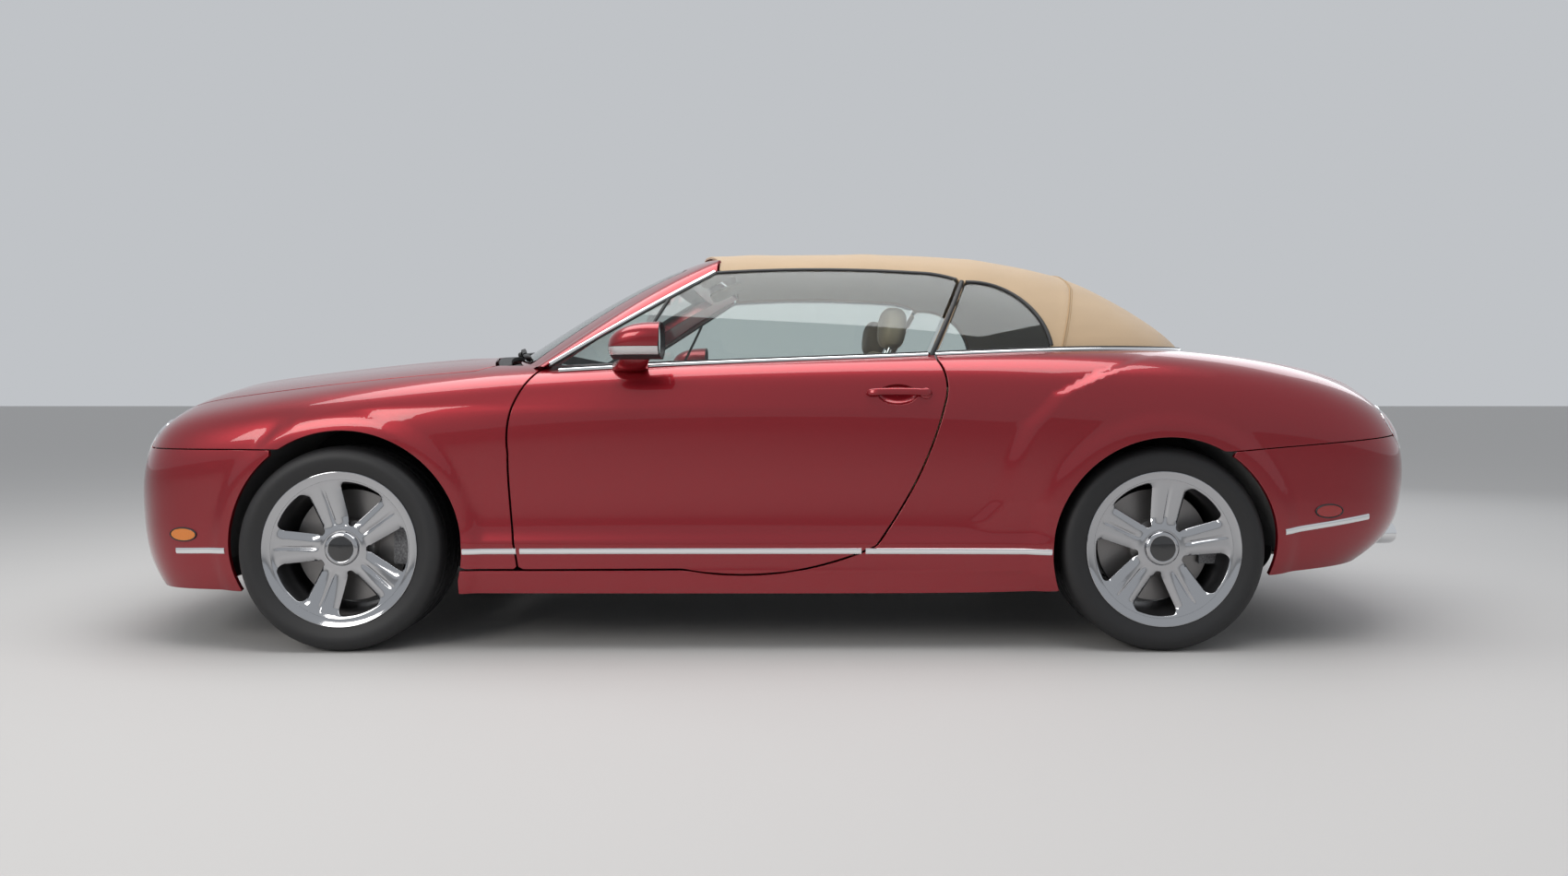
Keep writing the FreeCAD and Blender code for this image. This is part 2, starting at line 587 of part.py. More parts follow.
deck = both(cut_all(skin.common(plan_prism(DECK_LINE, 0, 600)), plan_prism(CABIN_LINE, 0, 600),
                    plan_prism(LID_LINE, SHUT_GAP, 600)))
front_bumper = both(cut_all(skin.common(box(X_FRONT_AXLE, X_NOSE + 50, -1, 1200, 100, 1300)),
                            side_prism(WING_LINE, SEAT_GAP), plan_prism(BONNET_LINE, SHUT_GAP, 600),
                            front_arch,
                            nose_prism(GRILLE_LINE), nose_prism(MIDDLE_INTAKE_LINE),
                            nose_prism(OUTER_INTAKE_LINE), *lamp_holes))
rear_bumper = both(cut_all(skin.common(side_prism(REAR_BUMPER_LINE)), rear_arch,
                           plan_prism(LID_LINE, SHUT_GAP, LID_FOOT_Z - SHUT_GAP), tail_hole, exhaust_hole))

# Windscreen, roof and side glass
screen = wall(screen_cage(), FRAME_DEPTH)
glass = wall(screen_cage(), GLASS_THICKNESS)
windscreen = both(glass.common(front_prism(SCREEN_LINE, 0, 1200)))
frame = both(largest(cut_all(screen, front_prism(SCREEN_LINE, 0, 1200, SEAT_GAP), skin,
                             side_prism(DOOR_LINE, SHUT_GAP).common(box(-700, 1100, -1, 1200, 100,
                                        BELT_JOINT_Z)),
                             side_prism(DOOR_GLASS_LINE, SHUT_GAP))))
roof = wall(roof_cage(), ROOF_THICKNESS).common(plan_prism(ROOF_PLAN_LINE))
roof_glass = wall(roof_cage(), GLASS_THICKNESS)
door_glass = largest(roof_glass.common(side_prism(DOOR_GLASS_LINE)).cut(door))
quarter_glass = largest(roof_glass.common(side_prism(QUARTER_GLASS_LINE)).cut(skin))
roof = largest(cut_all(roof, side_prism(DOOR_GLASS_LINE, 8), side_prism(QUARTER_GLASS_LINE, SEAT_GAP),
                       side_prism(DOOR_LINE, SHUT_GAP), front_prism(REAR_GLASS_LINE, -1700, -1000), skin,
                       screen))
soft_top = both(roof)
rear_glass = both(roof_glass.common(front_prism(REAR_GLASS_LINE, -1700, -1000, -SEAT_GAP)))

# Lamps, markers, bright strips and handles, each fitted to the skin that carries it
headlamps = [lamp_skin.common(nose_prism(oval(y, z, r, r, gap=-SEAT_GAP))).cut(
    plan_prism(BONNET_LINE, SHUT_GAP, 600)) for y, z, r in HEADLAMPS]
tail_lamp = lamp_skin.common(tail_prism(oval(*TAIL_LAMP, gap=-SEAT_GAP))).cut(
    plan_prism(LID_LINE, SHUT_GAP, LID_FOOT_Z - SHUT_GAP))
markers = [trim_skin.common(side_prism(oval(x, z, *MARKER_HALF, side_point))).cut(skin)
           for x, z in (FRONT_MARKER, REAR_MARKER)]
strip_band = trim_skin.common(box(X_TAIL, X_NOSE, 0, 1200, STRIP_LOW_Z, STRIP_HIGH_Z)).cut(skin)
door_strip = strip_band.common(side_prism(DOOR_LINE))
wing_strip = cut_all(strip_band.common(box(830, X_FRONT_ARCH, 0, 1200, 300, 380)),
                     side_prism(DOOR_LINE, SHUT_GAP), front_arch)
quarter_strip = cut_all(strip_band.common(box(X_REAR_ARCH, -360, 0, 1200, 300, 380)),
                        side_prism(DOOR_LINE, SHUT_GAP),
                        rear_arch)
bumper_strips = [trim_skin.common(side_prism(line)).cut(skin) for line in (FRONT_STRIP_LINE, REAR_STRIP_LINE)]
centre_bar = box(X_NOSE - END_REACH, X_NOSE + BEYOND, -1, CENTRE_BAR_HALF_WIDTH, 480, 820)
grille_frame = cut_all(trim_skin.common(nose_prism(GRILLE_LINE, GRILLE_FRAME)),
                       nose_prism(GRILLE_LINE).cut(centre_bar),
                       skin, plan_prism(BONNET_LINE, SHUT_GAP, 600))

# Wire mesh behind the front openings, lying against the inside of the bumper
holes = []
for row in range(MESH_ROWS):
    for column in range(MESH_COLUMNS):
        y, z = (column + 0.5 * (row % 2)) * MESH_PITCH, 250 + row * MESH_PITCH * 0.5
        half = (MESH_PITCH - MESH_BAR) / 2
        holes.append(front_prism(outline(front_point, (y - half, z), (y, z + half), (y + half, z),
                                        (y, z - half)),
                                 X_NOSE - END_REACH, X_NOSE))
mesh_skin = wall(offset_cage(body_cage(), SKIN + SEAT_GAP), MESH_THICKNESS)
mesh_openings = [nose_prism(GRILLE_LINE, MESH_LAP), nose_prism(MIDDLE_INTAKE_LINE, SMALL_MESH_LAP),
                 nose_prism(OUTER_INTAKE_LINE, SMALL_MESH_LAP)]
meshes = []
for opening in mesh_openings:
    sheet = mesh_skin.common(opening)
    near = [h for h in holes if h.BoundBox.intersect(sheet.BoundBox)]
    sheet = largest(cut_all(sheet, plan_prism(BONNET_LINE, SHUT_GAP, 600), Part.makeCompound(near)))
    meshes.append(sheet)
meshes = [both(meshes[0]), both(meshes[1]), meshes[2], mirrored(meshes[2])]

# Door mirrors and handles
mirror_head = plan_prism(MIRROR_PLAN, 0, 900, 1200).common(front_prism(MIRROR_FRONT, 300, 600)).common(
    side_prism(MIRROR_SIDE))
mirror_arm = front_prism(MIRROR_ARM_FRONT, MIRROR_ARM_X - 60, MIRROR_ARM_X + 62).common(
    plan_prism(MIRROR_ARM_PLAN, 0, 800, 1100))
mirror = largest(mirror_head.fuse(mirror_arm).cut(door).cut(door_glass))
handle_wall = wall(offset_cage(body_cage(), -HANDLE_PROUD), HANDLE_THICKNESS)
foot_wall = wall(offset_cage(body_cage(), -HANDLE_PROUD + 1), HANDLE_PROUD + 1)
handle = handle_wall.common(side_prism(HANDLE_LINE))
for side in (-1, 1):
    handle = handle.fuse(foot_wall.common(side_prism(oval(X_HANDLE + side * 84, Z_HANDLE, 16, 8,
                                        side_point))))
handle = largest(handle.cut(door))

# Structure under the skin
liner_front = cylinder_y(X_FRONT_ARCH, Z_FRONT_ARCH, LINER_FRONT_RADIUS + LINER_WALL + SEAT_GAP,
                         FRONT_LINER_Y - LINER_WALL - SEAT_GAP, 1200)
liner_rear = cylinder_y(X_REAR_ARCH, Z_REAR_ARCH, LINER_REAR_RADIUS + LINER_WALL + SEAT_GAP,
                        REAR_LINER_Y - LINER_WALL - SEAT_GAP, 1200)
blocks = [
    # floor, sill, firewall, cowl beam, kick panel
    (-1060, 1010, 0, 940, FLOOR_Z - FLOOR_THICKNESS, FLOOR_Z), (-880, 1040, 776, 940, FLOOR_Z - 1, 264),
    (985, 1010, 0, 782, FLOOR_Z - 1, 850), (936, 986, 0, 770, 830, 1010), (890, 986, 762, 782, FLOOR_Z - 1,
                                        1000),
    # rear side wall, pillar behind the door, bulkhead
    (-1330, -600, 752, 776, FLOOR_Z - 1, 1010), (-650, -600, 752, 930, 263, 1010),
    (-1060, -1040, 0, 776, 200, 860),
    # seal flange along the sill, which the shut door rests on
    (-180, 780, 776, DOOR_INNER_Y - SEAT_GAP, 263, 336),
    # front rail, front cross beam, engine mount
    (1000, X_NOSE - 112, RAIL_IN_Y, RAIL_OUT_Y, RAIL_LOW_Z, RAIL_TOP_Z), (X_NOSE - 162, X_NOSE - 72, 0, 560,
                                        CROSS_BEAM_Z, 480),
    (X_ENGINE_MOUNT - 50, X_ENGINE_MOUNT + 50, ENGINE_HALF_WIDTH + SEAT_GAP, RAIL_IN_Y + 1, 350, 410),
]
rear_blocks = [
    # boot floor, rear panel, rear rail
    (X_TAIL + 72, -1060 - SEAT_GAP, 0, 640, BOOT_FLOOR_Z, 344), (X_TAIL + 112, X_TAIL + 172, 0, 560,
                                        BOOT_FLOOR_Z, 545),
    (X_PIPE_ROOM, -1060 - SEAT_GAP, REAR_RAIL_IN_Y, REAR_RAIL_OUT_Y, REAR_RAIL_LOW_Z, 331),
    # latch and seal under the lid's plate pan
    (X_PLATE_PAN + SEAT_GAP, X_TAIL + 171, 0, 200, 520, 610),
]
structure = box(*blocks[0])
for block in blocks[1:]:
    structure = structure.fuse(box(*block))
tunnel = box(-1055, 1005, -1, 130, FLOOR_Z - 1, 330)
structure = structure.fuse(tunnel).cut(box(-1100, 1100, -10, 112, 100, 312))
structure = structure.common(inside).cut(liner_front).cut(liner_rear)
structure = structure.cut(side_prism(DOOR_LINE, SHUT_GAP, DOOR_INNER_Y - SEAT_GAP))
structure = both(largest(structure))
boot_floor = box(*rear_blocks[0])
for block in rear_blocks[1:]:
    boot_floor = boot_floor.fuse(box(*block))
tip_room = front_prism(oval(*EXHAUST, gap=TIP_GAP), X_TAIL, X_SILENCER_BACK).fuse(
    box(X_SILENCER_BACK - 70, X_PIPE_ROOM, 290, EXHAUST[0], 200, EXHAUST[1] + EXHAUST[3] + TIP_GAP))
boot_floor = both(largest(cut_all(boot_floor.common(inside), liner_rear, tip_room)))

# Exhaust: a silencer against the boot floor, and a pipe and an oval tip on each side
silencer_top = BOOT_FLOOR_Z - SEAT_GAP
silencer = side_prism(outline(side_point, (X_SILENCER_BACK, silencer_top), (X_SILENCER_BACK, 262),
                              ((X_SILENCER_BACK + 12, 236), (X_SILENCER_BACK + 40, 228)),
                              (X_SILENCER_BACK + SILENCER_LENGTH - 40, 228),
                              ((X_SILENCER_BACK + SILENCER_LENGTH - 12, 236),
                               (X_SILENCER_BACK + SILENCER_LENGTH, 262)),
                              (X_SILENCER_BACK + SILENCER_LENGTH, silencer_top)), 0, -1, SILENCER_HALF_WIDTH)
tip_y, tip_z, tip_half_width, tip_half_height = EXHAUST
tip_start = X_SILENCER_BACK - 60
tip = front_prism(oval(*EXHAUST), X_TAIL + TIP_SETBACK, tip_start).cut(
    front_prism(oval(*EXHAUST, gap=-TIP_WALL), X_TAIL + TIP_SETBACK - 1, tip_start - TIP_WALL))
pipe_from, pipe_to = V(X_SILENCER_BACK + 30, SILENCER_HALF_WIDTH - 60, 285), V(tip_start - 3, tip_y - 20,
                                        tip_z - 8)
pipe = Part.makeCylinder(26, (pipe_to - pipe_from).Length, pipe_from, pipe_to - pipe_from)
exhaust = both(silencer.fuse(tip).fuse(pipe).common(box(X_TAIL, 0, 0, 1200, 100, 500)))


front_liner = largest(liner(X_FRONT_ARCH, Z_FRONT_ARCH, LINER_FRONT_RADIUS, FRONT_LINER_Y, 300).cut(
    box(X_FRONT_AXLE - 190, X_FRONT_AXLE + 190, 400, 520, 100, 620)))
rear_liner = largest(liner(X_REAR_ARCH, Z_REAR_ARCH, LINER_REAR_RADIUS, REAR_LINER_Y, 330))

# Wheels, about the origin with the outside towards +Y
flange, bed = RIM_FLANGE_RADIUS, RIM_BED_RADIUS
rim = revolved([(126, flange - 9), (126, flange), (RIM_HALF_WIDTH, flange), (112, bed), (-112, bed),
                (-RIM_HALF_WIDTH, flange), (-126, flange), (-126, flange - 9), (-110, bed - 10),
                (60, bed - 16),
                (96, bed - 16), (112, bed - 2)])
face = revolved([(100, 0), (100, 70), (94, 96), (104, 175), (116, 226), (84, 224), (66, 175),
                 (WHEEL_FACE_Y, 96),
                 (WHEEL_FACE_Y, 0)])
window = outline(side_point, (-16, 92), ((0, 84), (16, 92)), (76, 190), ((64, 208), (44, 216)),
                 ((0, 221), (-44, 216)),
                 ((-64, 208), (-76, 190)), (-16, 92))
for i in range(5):
    hole = side_prism(window, 0, 0, 200)
    hole.rotate(V(0, 0, 0), V(0, 1, 0), 36 + 72 * i)
    face = face.cut(hole)
rim = rim.fuse(face)
bead, tread = RIM_HALF_WIDTH - SEAT_GAP, TYRE_WIDTH / 2 - 19.5
bulge = flange + 33
tyre = revolved([(bead - 4, bed + SEAT_GAP), (bead, flange + SEAT_GAP), (TYRE_WIDTH / 2, bulge),
                 (tread, TYRE_RADIUS),
                 (-tread, TYRE_RADIUS), (-TYRE_WIDTH / 2, bulge), (-bead, flange + SEAT_GAP),
                 (4 - bead, bed + SEAT_GAP)])
disc = revolved([(WHEEL_FACE_Y - SEAT_GAP, 36), (WHEEL_FACE_Y - SEAT_GAP, 92), (12, 92), (12, 190),
                 (-20, 190), (-20, 80),
                 (-24, 62), (-24, 36)])
knuckle = revolved([(30, 0), (30, 35.5), (-26, 35.5), (-26, 58), (-56, 58), (-56, 0)])
knuckle = knuckle.fuse(box(-36, 36, -84, -54, KNUCKLE_BOTTOM, KNUCKLE_TOP)).fuse(
    box(-215, -150, -40, 34, -62, 62).cut(cylinder_y(0, 0, 194, -30, 22)).cut(cylinder_y(0, 0, 158, -30, 22)))
knuckle = knuckle.fuse(box(-175, -20, -56, -34, -30, 30)).common(cylinder_y(0, 0, 212, -100, 100))

# Cabin
seat_left = seat(-100, 400)
rear_seat = side_prism(outline(side_point, (-640, FLOOR_Z + SEAT_GAP), (-590, 400),
                               ((-600, 452), (-700, 450)), (-850, 430),
                               (-965, 900), ((-1000, 940), (-1035, 900)), (-1039, FLOOR_Z + SEAT_GAP)), 0,
                               -REAR_SEAT_HALF_WIDTH,
                       REAR_SEAT_HALF_WIDTH)
rear_seat = rear_seat.cut(box(-1100, -500, -131, 131, 200, 331))
dashboard = side_prism(outline(side_point, (985 - SEAT_GAP, 700), (700, 640), ((640, 700), (655, 800)),
                               ((700, 880), (800, 915)),
                               (936 - SEAT_GAP, 925), (936 - SEAT_GAP, 830 - SEAT_GAP),
                               (985 - SEAT_GAP, 830 - SEAT_GAP),
                               (985 - SEAT_GAP, 700)), 0, -761, 761)
console = side_prism(outline(side_point, (985 - SEAT_GAP, 331), (985 - SEAT_GAP, 700), (800, 690), (640, 560),
                             (-400, 540), (-420, 331)), 0, -128, 128)
ring_corners = [V(182 + 15 * math.cos(a * math.pi / 4), 0, 15 * math.sin(a * math.pi / 4)) for a in range(8)]
wheel_ring = Part.Face(Part.makePolygon(ring_corners + ring_corners[:1])).revolve(V(0, 0, 0), V(0, 0, 1), 360)
wheel_hub = Part.makeCylinder(62, 40, V(0, 0, -30))
for a in (0, 180, 270):
    spoke = Part.makeBox(182, 50, 16, V(0, -25, -14))
    spoke.rotate(V(0, 0, 0), V(0, 0, 1), a)
    wheel_hub = wheel_hub.fuse(spoke)
steering_wheel = wheel_ring.fuse(wheel_hub).fuse(Part.makeCylinder(COLUMN_RADIUS, COLUMN_LENGTH - 28,
                                        V(0, 0, -COLUMN_LENGTH)))
STEERING_WHEEL_AT = V(520, 392, 812)
STEERING_TILT = -66.0
steering_wheel.rotate(V(0, 0, 0), V(0, 1, 0), STEERING_TILT)
steering_wheel.translate(STEERING_WHEEL_AT)
column_hole = Part.makeCylinder(COLUMN_RADIUS + SEAT_GAP, COLUMN_LENGTH + SHUT_GAP,
                                V(0, 0, -COLUMN_LENGTH - SHUT_GAP))
column_hole.rotate(V(0, 0, 0), V(0, 1, 0), STEERING_TILT)
column_hole.translate(STEERING_WHEEL_AT)
dashboard = dashboard.fuse(console).cut(column_hole)

# Front openings and running gear
engine = box(X_FRONT_AXLE - 362, X_FRONT_AXLE + 328, -ENGINE_HALF_WIDTH, ENGINE_HALF_WIDTH, 250, 790)

# Suspension: an arm below and above each front knuckle, and below each rear one, on a cross beam under the
# rails
low_arm_z = HUB_HEIGHT + KNUCKLE_BOTTOM - SEAT_GAP - ARM_THICKNESS
top_arm_z = HUB_HEIGHT + KNUCKLE_TOP + SEAT_GAP
front_beam = box(X_FRONT_AXLE - 60, X_FRONT_AXLE + 60, -1, RAIL_OUT_Y, low_arm_z, low_arm_z + 60).fuse(
    box(X_FRONT_AXLE - 50, X_FRONT_AXLE + 50, RAIL_IN_Y, RAIL_OUT_Y, low_arm_z, RAIL_LOW_Z - SEAT_GAP)).fuse(
    arm(X_FRONT_AXLE, STEER_AXIS_Y, RAIL_OUT_Y - 10, 110, 58, 630, low_arm_z))
front_beam = front_beam.common(box(X_FRONT_AXLE - 400, X_FRONT_AXLE + 400, 0, 1000, 0, 500))
top_arm = box(X_FRONT_AXLE - 45, X_FRONT_AXLE + 45, RAIL_IN_Y, RAIL_OUT_Y, RAIL_TOP_Z + SEAT_GAP,
              top_arm_z + ARM_THICKNESS).fuse(
    arm(X_FRONT_AXLE, STEER_AXIS_Y, RAIL_OUT_Y - 10, 85, 30, 620, top_arm_z))
REAR_BALL_Y = Y_REAR_WHEEL - 70.0
rear_beam = box(X_REAR_AXLE - 60, X_REAR_AXLE + 60, -1, REAR_RAIL_OUT_Y, low_arm_z, low_arm_z + 50).fuse(
    box(X_REAR_AXLE - 50, X_REAR_AXLE + 50, REAR_RAIL_IN_Y, REAR_RAIL_OUT_Y, low_arm_z,
        REAR_RAIL_LOW_Z - SEAT_GAP)).fuse(
    arm(X_REAR_AXLE, REAR_BALL_Y, REAR_RAIL_OUT_Y - 10, 120, 60, 660, low_arm_z))
rear_beam = rear_beam.common(box(X_REAR_AXLE - 400, X_REAR_AXLE + 400, 0, 1000, 0, 500))
subframes = [both(front_beam), top_arm, mirrored(top_arm), both(rear_beam)]

save_pair("door", door)
save_pair("front_wing", wing)
save_pair("rear_quarter", quarter)
save_pair("door_glass", door_glass)
save("quarter_glasses", quarter_glass, mirrored(quarter_glass))
save("bonnet", bonnet)
save("boot_lid", lid)
save("scuttle", scuttle)
save("rear_deck", deck)
save("front_bumper", front_bumper)
save("rear_bumper", rear_bumper)
save("windscreen", windscreen)
save("windscreen_frame", frame)
save("soft_top", soft_top)
save("rear_glass", rear_glass)
save("structure", structure)
save("boot_floor", boot_floor)
save("subframes", *subframes)
save("headlamps", *headlamps, *[mirrored(s) for s in headlamps])
save("tail_lamps", tail_lamp, mirrored(tail_lamp))
save("marker_lamps", *markers, *[mirrored(s) for s in markers])
save_pair("door_strip", door_strip)
save("body_strips", wing_strip, mirrored(wing_strip), quarter_strip, mirrored(quarter_strip),
     both(grille_frame),
     *bumper_strips, *[mirrored(s) for s in bumper_strips])
save("grille_mesh", *meshes)
save("exhaust", exhaust)
save_pair("mirror", mirror)
save_pair("door_handle", handle)
save("front_arch_liners", front_liner, mirrored(front_liner))
save("rear_arch_liners", rear_liner, mirrored(rear_liner))
save("front_seats", seat_left, mirrored(seat_left))
save("rear_seat", rear_seat)
save("dashboard", dashboard)
save("steering_wheel", steering_wheel)
save("engine_block", engine)
for corner, x, y in (("front", X_FRONT_AXLE, Y_FRONT_WHEEL), ("rear", X_REAR_AXLE, Y_REAR_WHEEL)):
    turned = rim.copy()
    turned.rotate(V(0, 0, 0), V(0, 1, 0), RIM_TURN[corner])
    for name, shape in (("rim", turned), ("tyre", tyre), ("disc", disc)):
        save_pair(corner + "_" + name, placed(shape, x, y, HUB_HEIGHT))
save_pair("front_knuckle", placed(knuckle, X_FRONT_AXLE, Y_FRONT_WHEEL, HUB_HEIGHT))
rear_knuckle = placed(knuckle, X_REAR_AXLE, Y_REAR_WHEEL, HUB_HEIGHT)
save("rear_knuckles", rear_knuckle, mirrored(rear_knuckle))
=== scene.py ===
"""The looks of the convertible: panels, glass, fabric roof, wheels, lamps and cabin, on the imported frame."""
import bpy
import bmesh
import math
import numpy as np
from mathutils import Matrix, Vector


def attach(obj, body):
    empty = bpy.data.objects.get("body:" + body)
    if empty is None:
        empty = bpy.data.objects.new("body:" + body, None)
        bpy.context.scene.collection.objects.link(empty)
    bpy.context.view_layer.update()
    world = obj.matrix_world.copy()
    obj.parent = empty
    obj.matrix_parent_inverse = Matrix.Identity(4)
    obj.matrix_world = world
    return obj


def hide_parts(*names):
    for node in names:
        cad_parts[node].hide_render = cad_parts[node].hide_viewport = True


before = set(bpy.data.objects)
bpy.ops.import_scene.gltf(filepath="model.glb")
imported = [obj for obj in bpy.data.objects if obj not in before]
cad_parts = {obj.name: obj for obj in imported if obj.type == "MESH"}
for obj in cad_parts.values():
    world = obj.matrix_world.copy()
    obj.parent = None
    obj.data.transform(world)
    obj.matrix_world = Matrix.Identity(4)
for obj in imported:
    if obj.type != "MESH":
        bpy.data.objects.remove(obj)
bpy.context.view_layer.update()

# sizes, in millimetres, as in the part's source
X_NOSE, X_TAIL = 2402.0, -2402.0
X_FRONT_AXLE, X_REAR_AXLE = 1452.0, -1293.0
HUB_HEIGHT = 343.0
X_FRONT_ARCH, Z_FRONT_ARCH, FRONT_ARCH_RADIUS = 1438.0, 346.0, 393.0
X_REAR_ARCH, Z_REAR_ARCH, REAR_ARCH_RADIUS = -1296.0, 341.0, 377.0
SHUT_GAP = 6.0
MM = 0.001
HANDS = (("left", False), ("right", True))
FLIP = np.array([1.0, -1.0, 1.0])

SECTIONS = [
    # x, lip_y, lip_z, waist_y, shoulder_y, shoulder_z, top_z
    (1985.0, 868.0, 200.0, 915.0, 745.0, 826.0, 918.0),
    (1452.0, 905.0, 195.0, 968.0, 802.0, 908.0, 978.0),
    (930.0, 918.0, 195.0, 950.0, 836.0, 946.0, 1024.0),
    (300.0, 918.0, 195.0, 945.0, 862.0, 974.0, 1000.0),
    (-450.0, 918.0, 195.0, 945.0, 866.0, 1000.0, 1016.0),
    (-900.0, 914.0, 200.0, 962.0, 850.0, 1018.0, 1034.0),
    (-1293.0, 900.0, 225.0, 988.0, 800.0, 1024.0, 1044.0),
    (-1780.0, 872.0, 262.0, 938.0, 700.0, 976.0, 1012.0),
]
SIDE_ROWS = [(0.16, 12.0), (0.46, 14.0), (0.74, -2.0)]
ROLL_HEIGHT_SHARE = 0.93
ROLL_WIDTH_SHARE = 0.24
CROWN_ROWS = [(0.76, 0.60), (0.38, 1.0), (0.0, 1.0)]
NOSE_ROWS = [(95.0, 195.0), (20.0, 265.0), (-2.0, 380.0), (-4.0, 500.0), (34.0, 645.0), (84.0, 738.0),
             (135.0, 795.0), (195.0, 830.0), (275.0, 852.0)]
TAIL_ROWS = [(190.0, 305.0), (50.0, 340.0), (-2.0, 440.0), (-4.0, 560.0), (25.0, 680.0), (75.0, 790.0),
             (92.0, 872.0), (100.0, 918.0), (205.0, 938.0)]
NOSE_COLUMNS = [(0.0, 0.0), (0.33, 0.0), (0.66, 0.22), (0.93, 0.58)]
TAIL_COLUMNS = [(0.0, 0.0), (0.33, 0.0), (0.66, 0.20), (0.93, 0.46)]
ROOF_SECTIONS = [
    # x, belt_y, belt_z, rail_y, rail_z, roof_z
    (950.0, 858.0, 900.0, 600.0, 1345.0, 1372.0),
    (300.0, 860.0, 920.0, 600.0, 1352.0, 1398.0),
    (-300.0, 858.0, 940.0, 605.0, 1358.0, 1413.0),
    (-700.0, 850.0, 950.0, 600.0, 1340.0, 1402.0),
    (-1000.0, 832.0, 955.0, 585.0, 1290.0, 1350.0),
]
ROOF_ROWS = [(0.0, 0.0), (0.10, 0.34), (0.62, 0.80), (1.0, 1.0)]
ROOF_CROWN_ROWS = [(0.74, 0.70), (0.36, 1.0), (0.0, 1.0)]
ROOF_END_X = -1555.0
ROOF_END_ROWS = [(-20.0, 955.0), (10.0, 1035.0), (120.0, 1110.0), (225.0, 1175.0), (310.0, 1235.0),
                 (375.0, 1280.0), (430.0, 1320.0)]
ROOF_CORNER_COLUMNS = [(0.0, 0.0), (0.34, 0.0), (0.72, 0.06), (0.94, 0.42)]
SCREEN_ROWS = [
    # centre_x, centre_z, side_x, side_y, side_z
    (1010.0, 998.0, 838.0, 812.0, 940.0),
    (790.0, 1143.0, 640.0, 778.0, 1085.0),
    (545.0, 1306.0, 405.0, 700.0, 1258.0),
    (300.0, 1380.0, 208.0, 606.0, 1345.0),
]
SCREEN_COLUMNS = [(0.0, 0.0), (0.42, 0.0), (0.80, 0.45), (1.0, 1.0)]


def turns(count):
    """Evenly spaced angles of one full turn."""
    return np.linspace(0, 2 * math.pi, count, endpoint=False)


# smooth surfaces over control cages
def section_rows(section):
    x, lip_y, lip_z, waist_y, shoulder_y, shoulder_z, top_z = section
    rise = shoulder_z - lip_z
    rows = [(x, lip_y, lip_z)]
    rows += [(x, waist_y - inset, lip_z + share * rise) for share, inset in SIDE_ROWS]
    rows.append((x, waist_y - ROLL_WIDTH_SHARE * (waist_y - shoulder_y), lip_z + ROLL_HEIGHT_SHARE * rise))
    rows.append((x, shoulder_y, shoulder_z))
    rows += [(x, share * shoulder_y, shoulder_z + up * (top_z - shoulder_z)) for share, up in CROWN_ROWS]
    return rows


def roof_rows(section):
    x, belt_y, belt_z, rail_y, rail_z, roof_z = section
    rows = [(x, belt_y + out * (rail_y - belt_y), belt_z + up * (rail_z - belt_z)) for out, up in ROOF_ROWS]
    return rows + [(x, share * rail_y, rail_z + up * (roof_z - rail_z)) for share, up in ROOF_CROWN_ROWS]


def corner_rows(end_x, end_rows, section, out_share, back_share):
    direction = 1.0 if end_x > 0 else -1.0
    rows = []
    for (setback, height), (x, y, z) in zip(end_rows, section):
        start_x = end_x - direction * setback
        rows.append((start_x + (x - start_x) * back_share, y * out_share,
                     height + (z - height) * back_share ** 0.8))
    return rows


def body_cage():
    sections = [section_rows(s) for s in SECTIONS]
    nose = [corner_rows(X_NOSE, NOSE_ROWS, sections[0], o, b) for o, b in NOSE_COLUMNS]
    tail = [corner_rows(X_TAIL, TAIL_ROWS, sections[-1], o, b) for o, b in reversed(TAIL_COLUMNS)]
    return np.array(nose + sections + tail)


def roof_cage():
    sections = [roof_rows(s) for s in ROOF_SECTIONS]
    back = [corner_rows(ROOF_END_X, ROOF_END_ROWS, sections[-1], o, b)
            for o, b in reversed(ROOF_CORNER_COLUMNS)]
    return np.array(sections + back)


def screen_cage():
    columns = []
    for out, back in SCREEN_COLUMNS:
        columns.append([(cx + (sx - cx) * back, sy * out, cz + (sz - cz) * back)
                        for cx, cz, sx, sy, sz in SCREEN_ROWS])
    return np.array(columns)


def spline_basis(count, t):
    """Values of the clamped uniform cubic basis functions at t, one row per value of t."""
    spans = count - 3
    knots = np.concatenate([[0.0] * 3, np.arange(spans + 1), [spans] * 3]).astype(float)
    t = np.clip(np.asarray(t, float), 0.0, spans)
    last = np.minimum(t.astype(int), spans - 1) + 3
    values = np.zeros((len(t), len(knots) - 1))
    values[np.arange(len(t)), last] = 1.0
    for degree in (1, 2, 3):
        new = np.zeros((len(t), len(knots) - 1 - degree))
        for i in range(new.shape[1]):
            left, right = knots[i + degree] - knots[i], knots[i + degree + 1] - knots[i + 1]
            if left > 0:
                new[:, i] += (t - knots[i]) / left * values[:, i]
            if right > 0:
                new[:, i] += (knots[i + degree + 1] - t) / right * values[:, i + 1]
        values = new
    return values


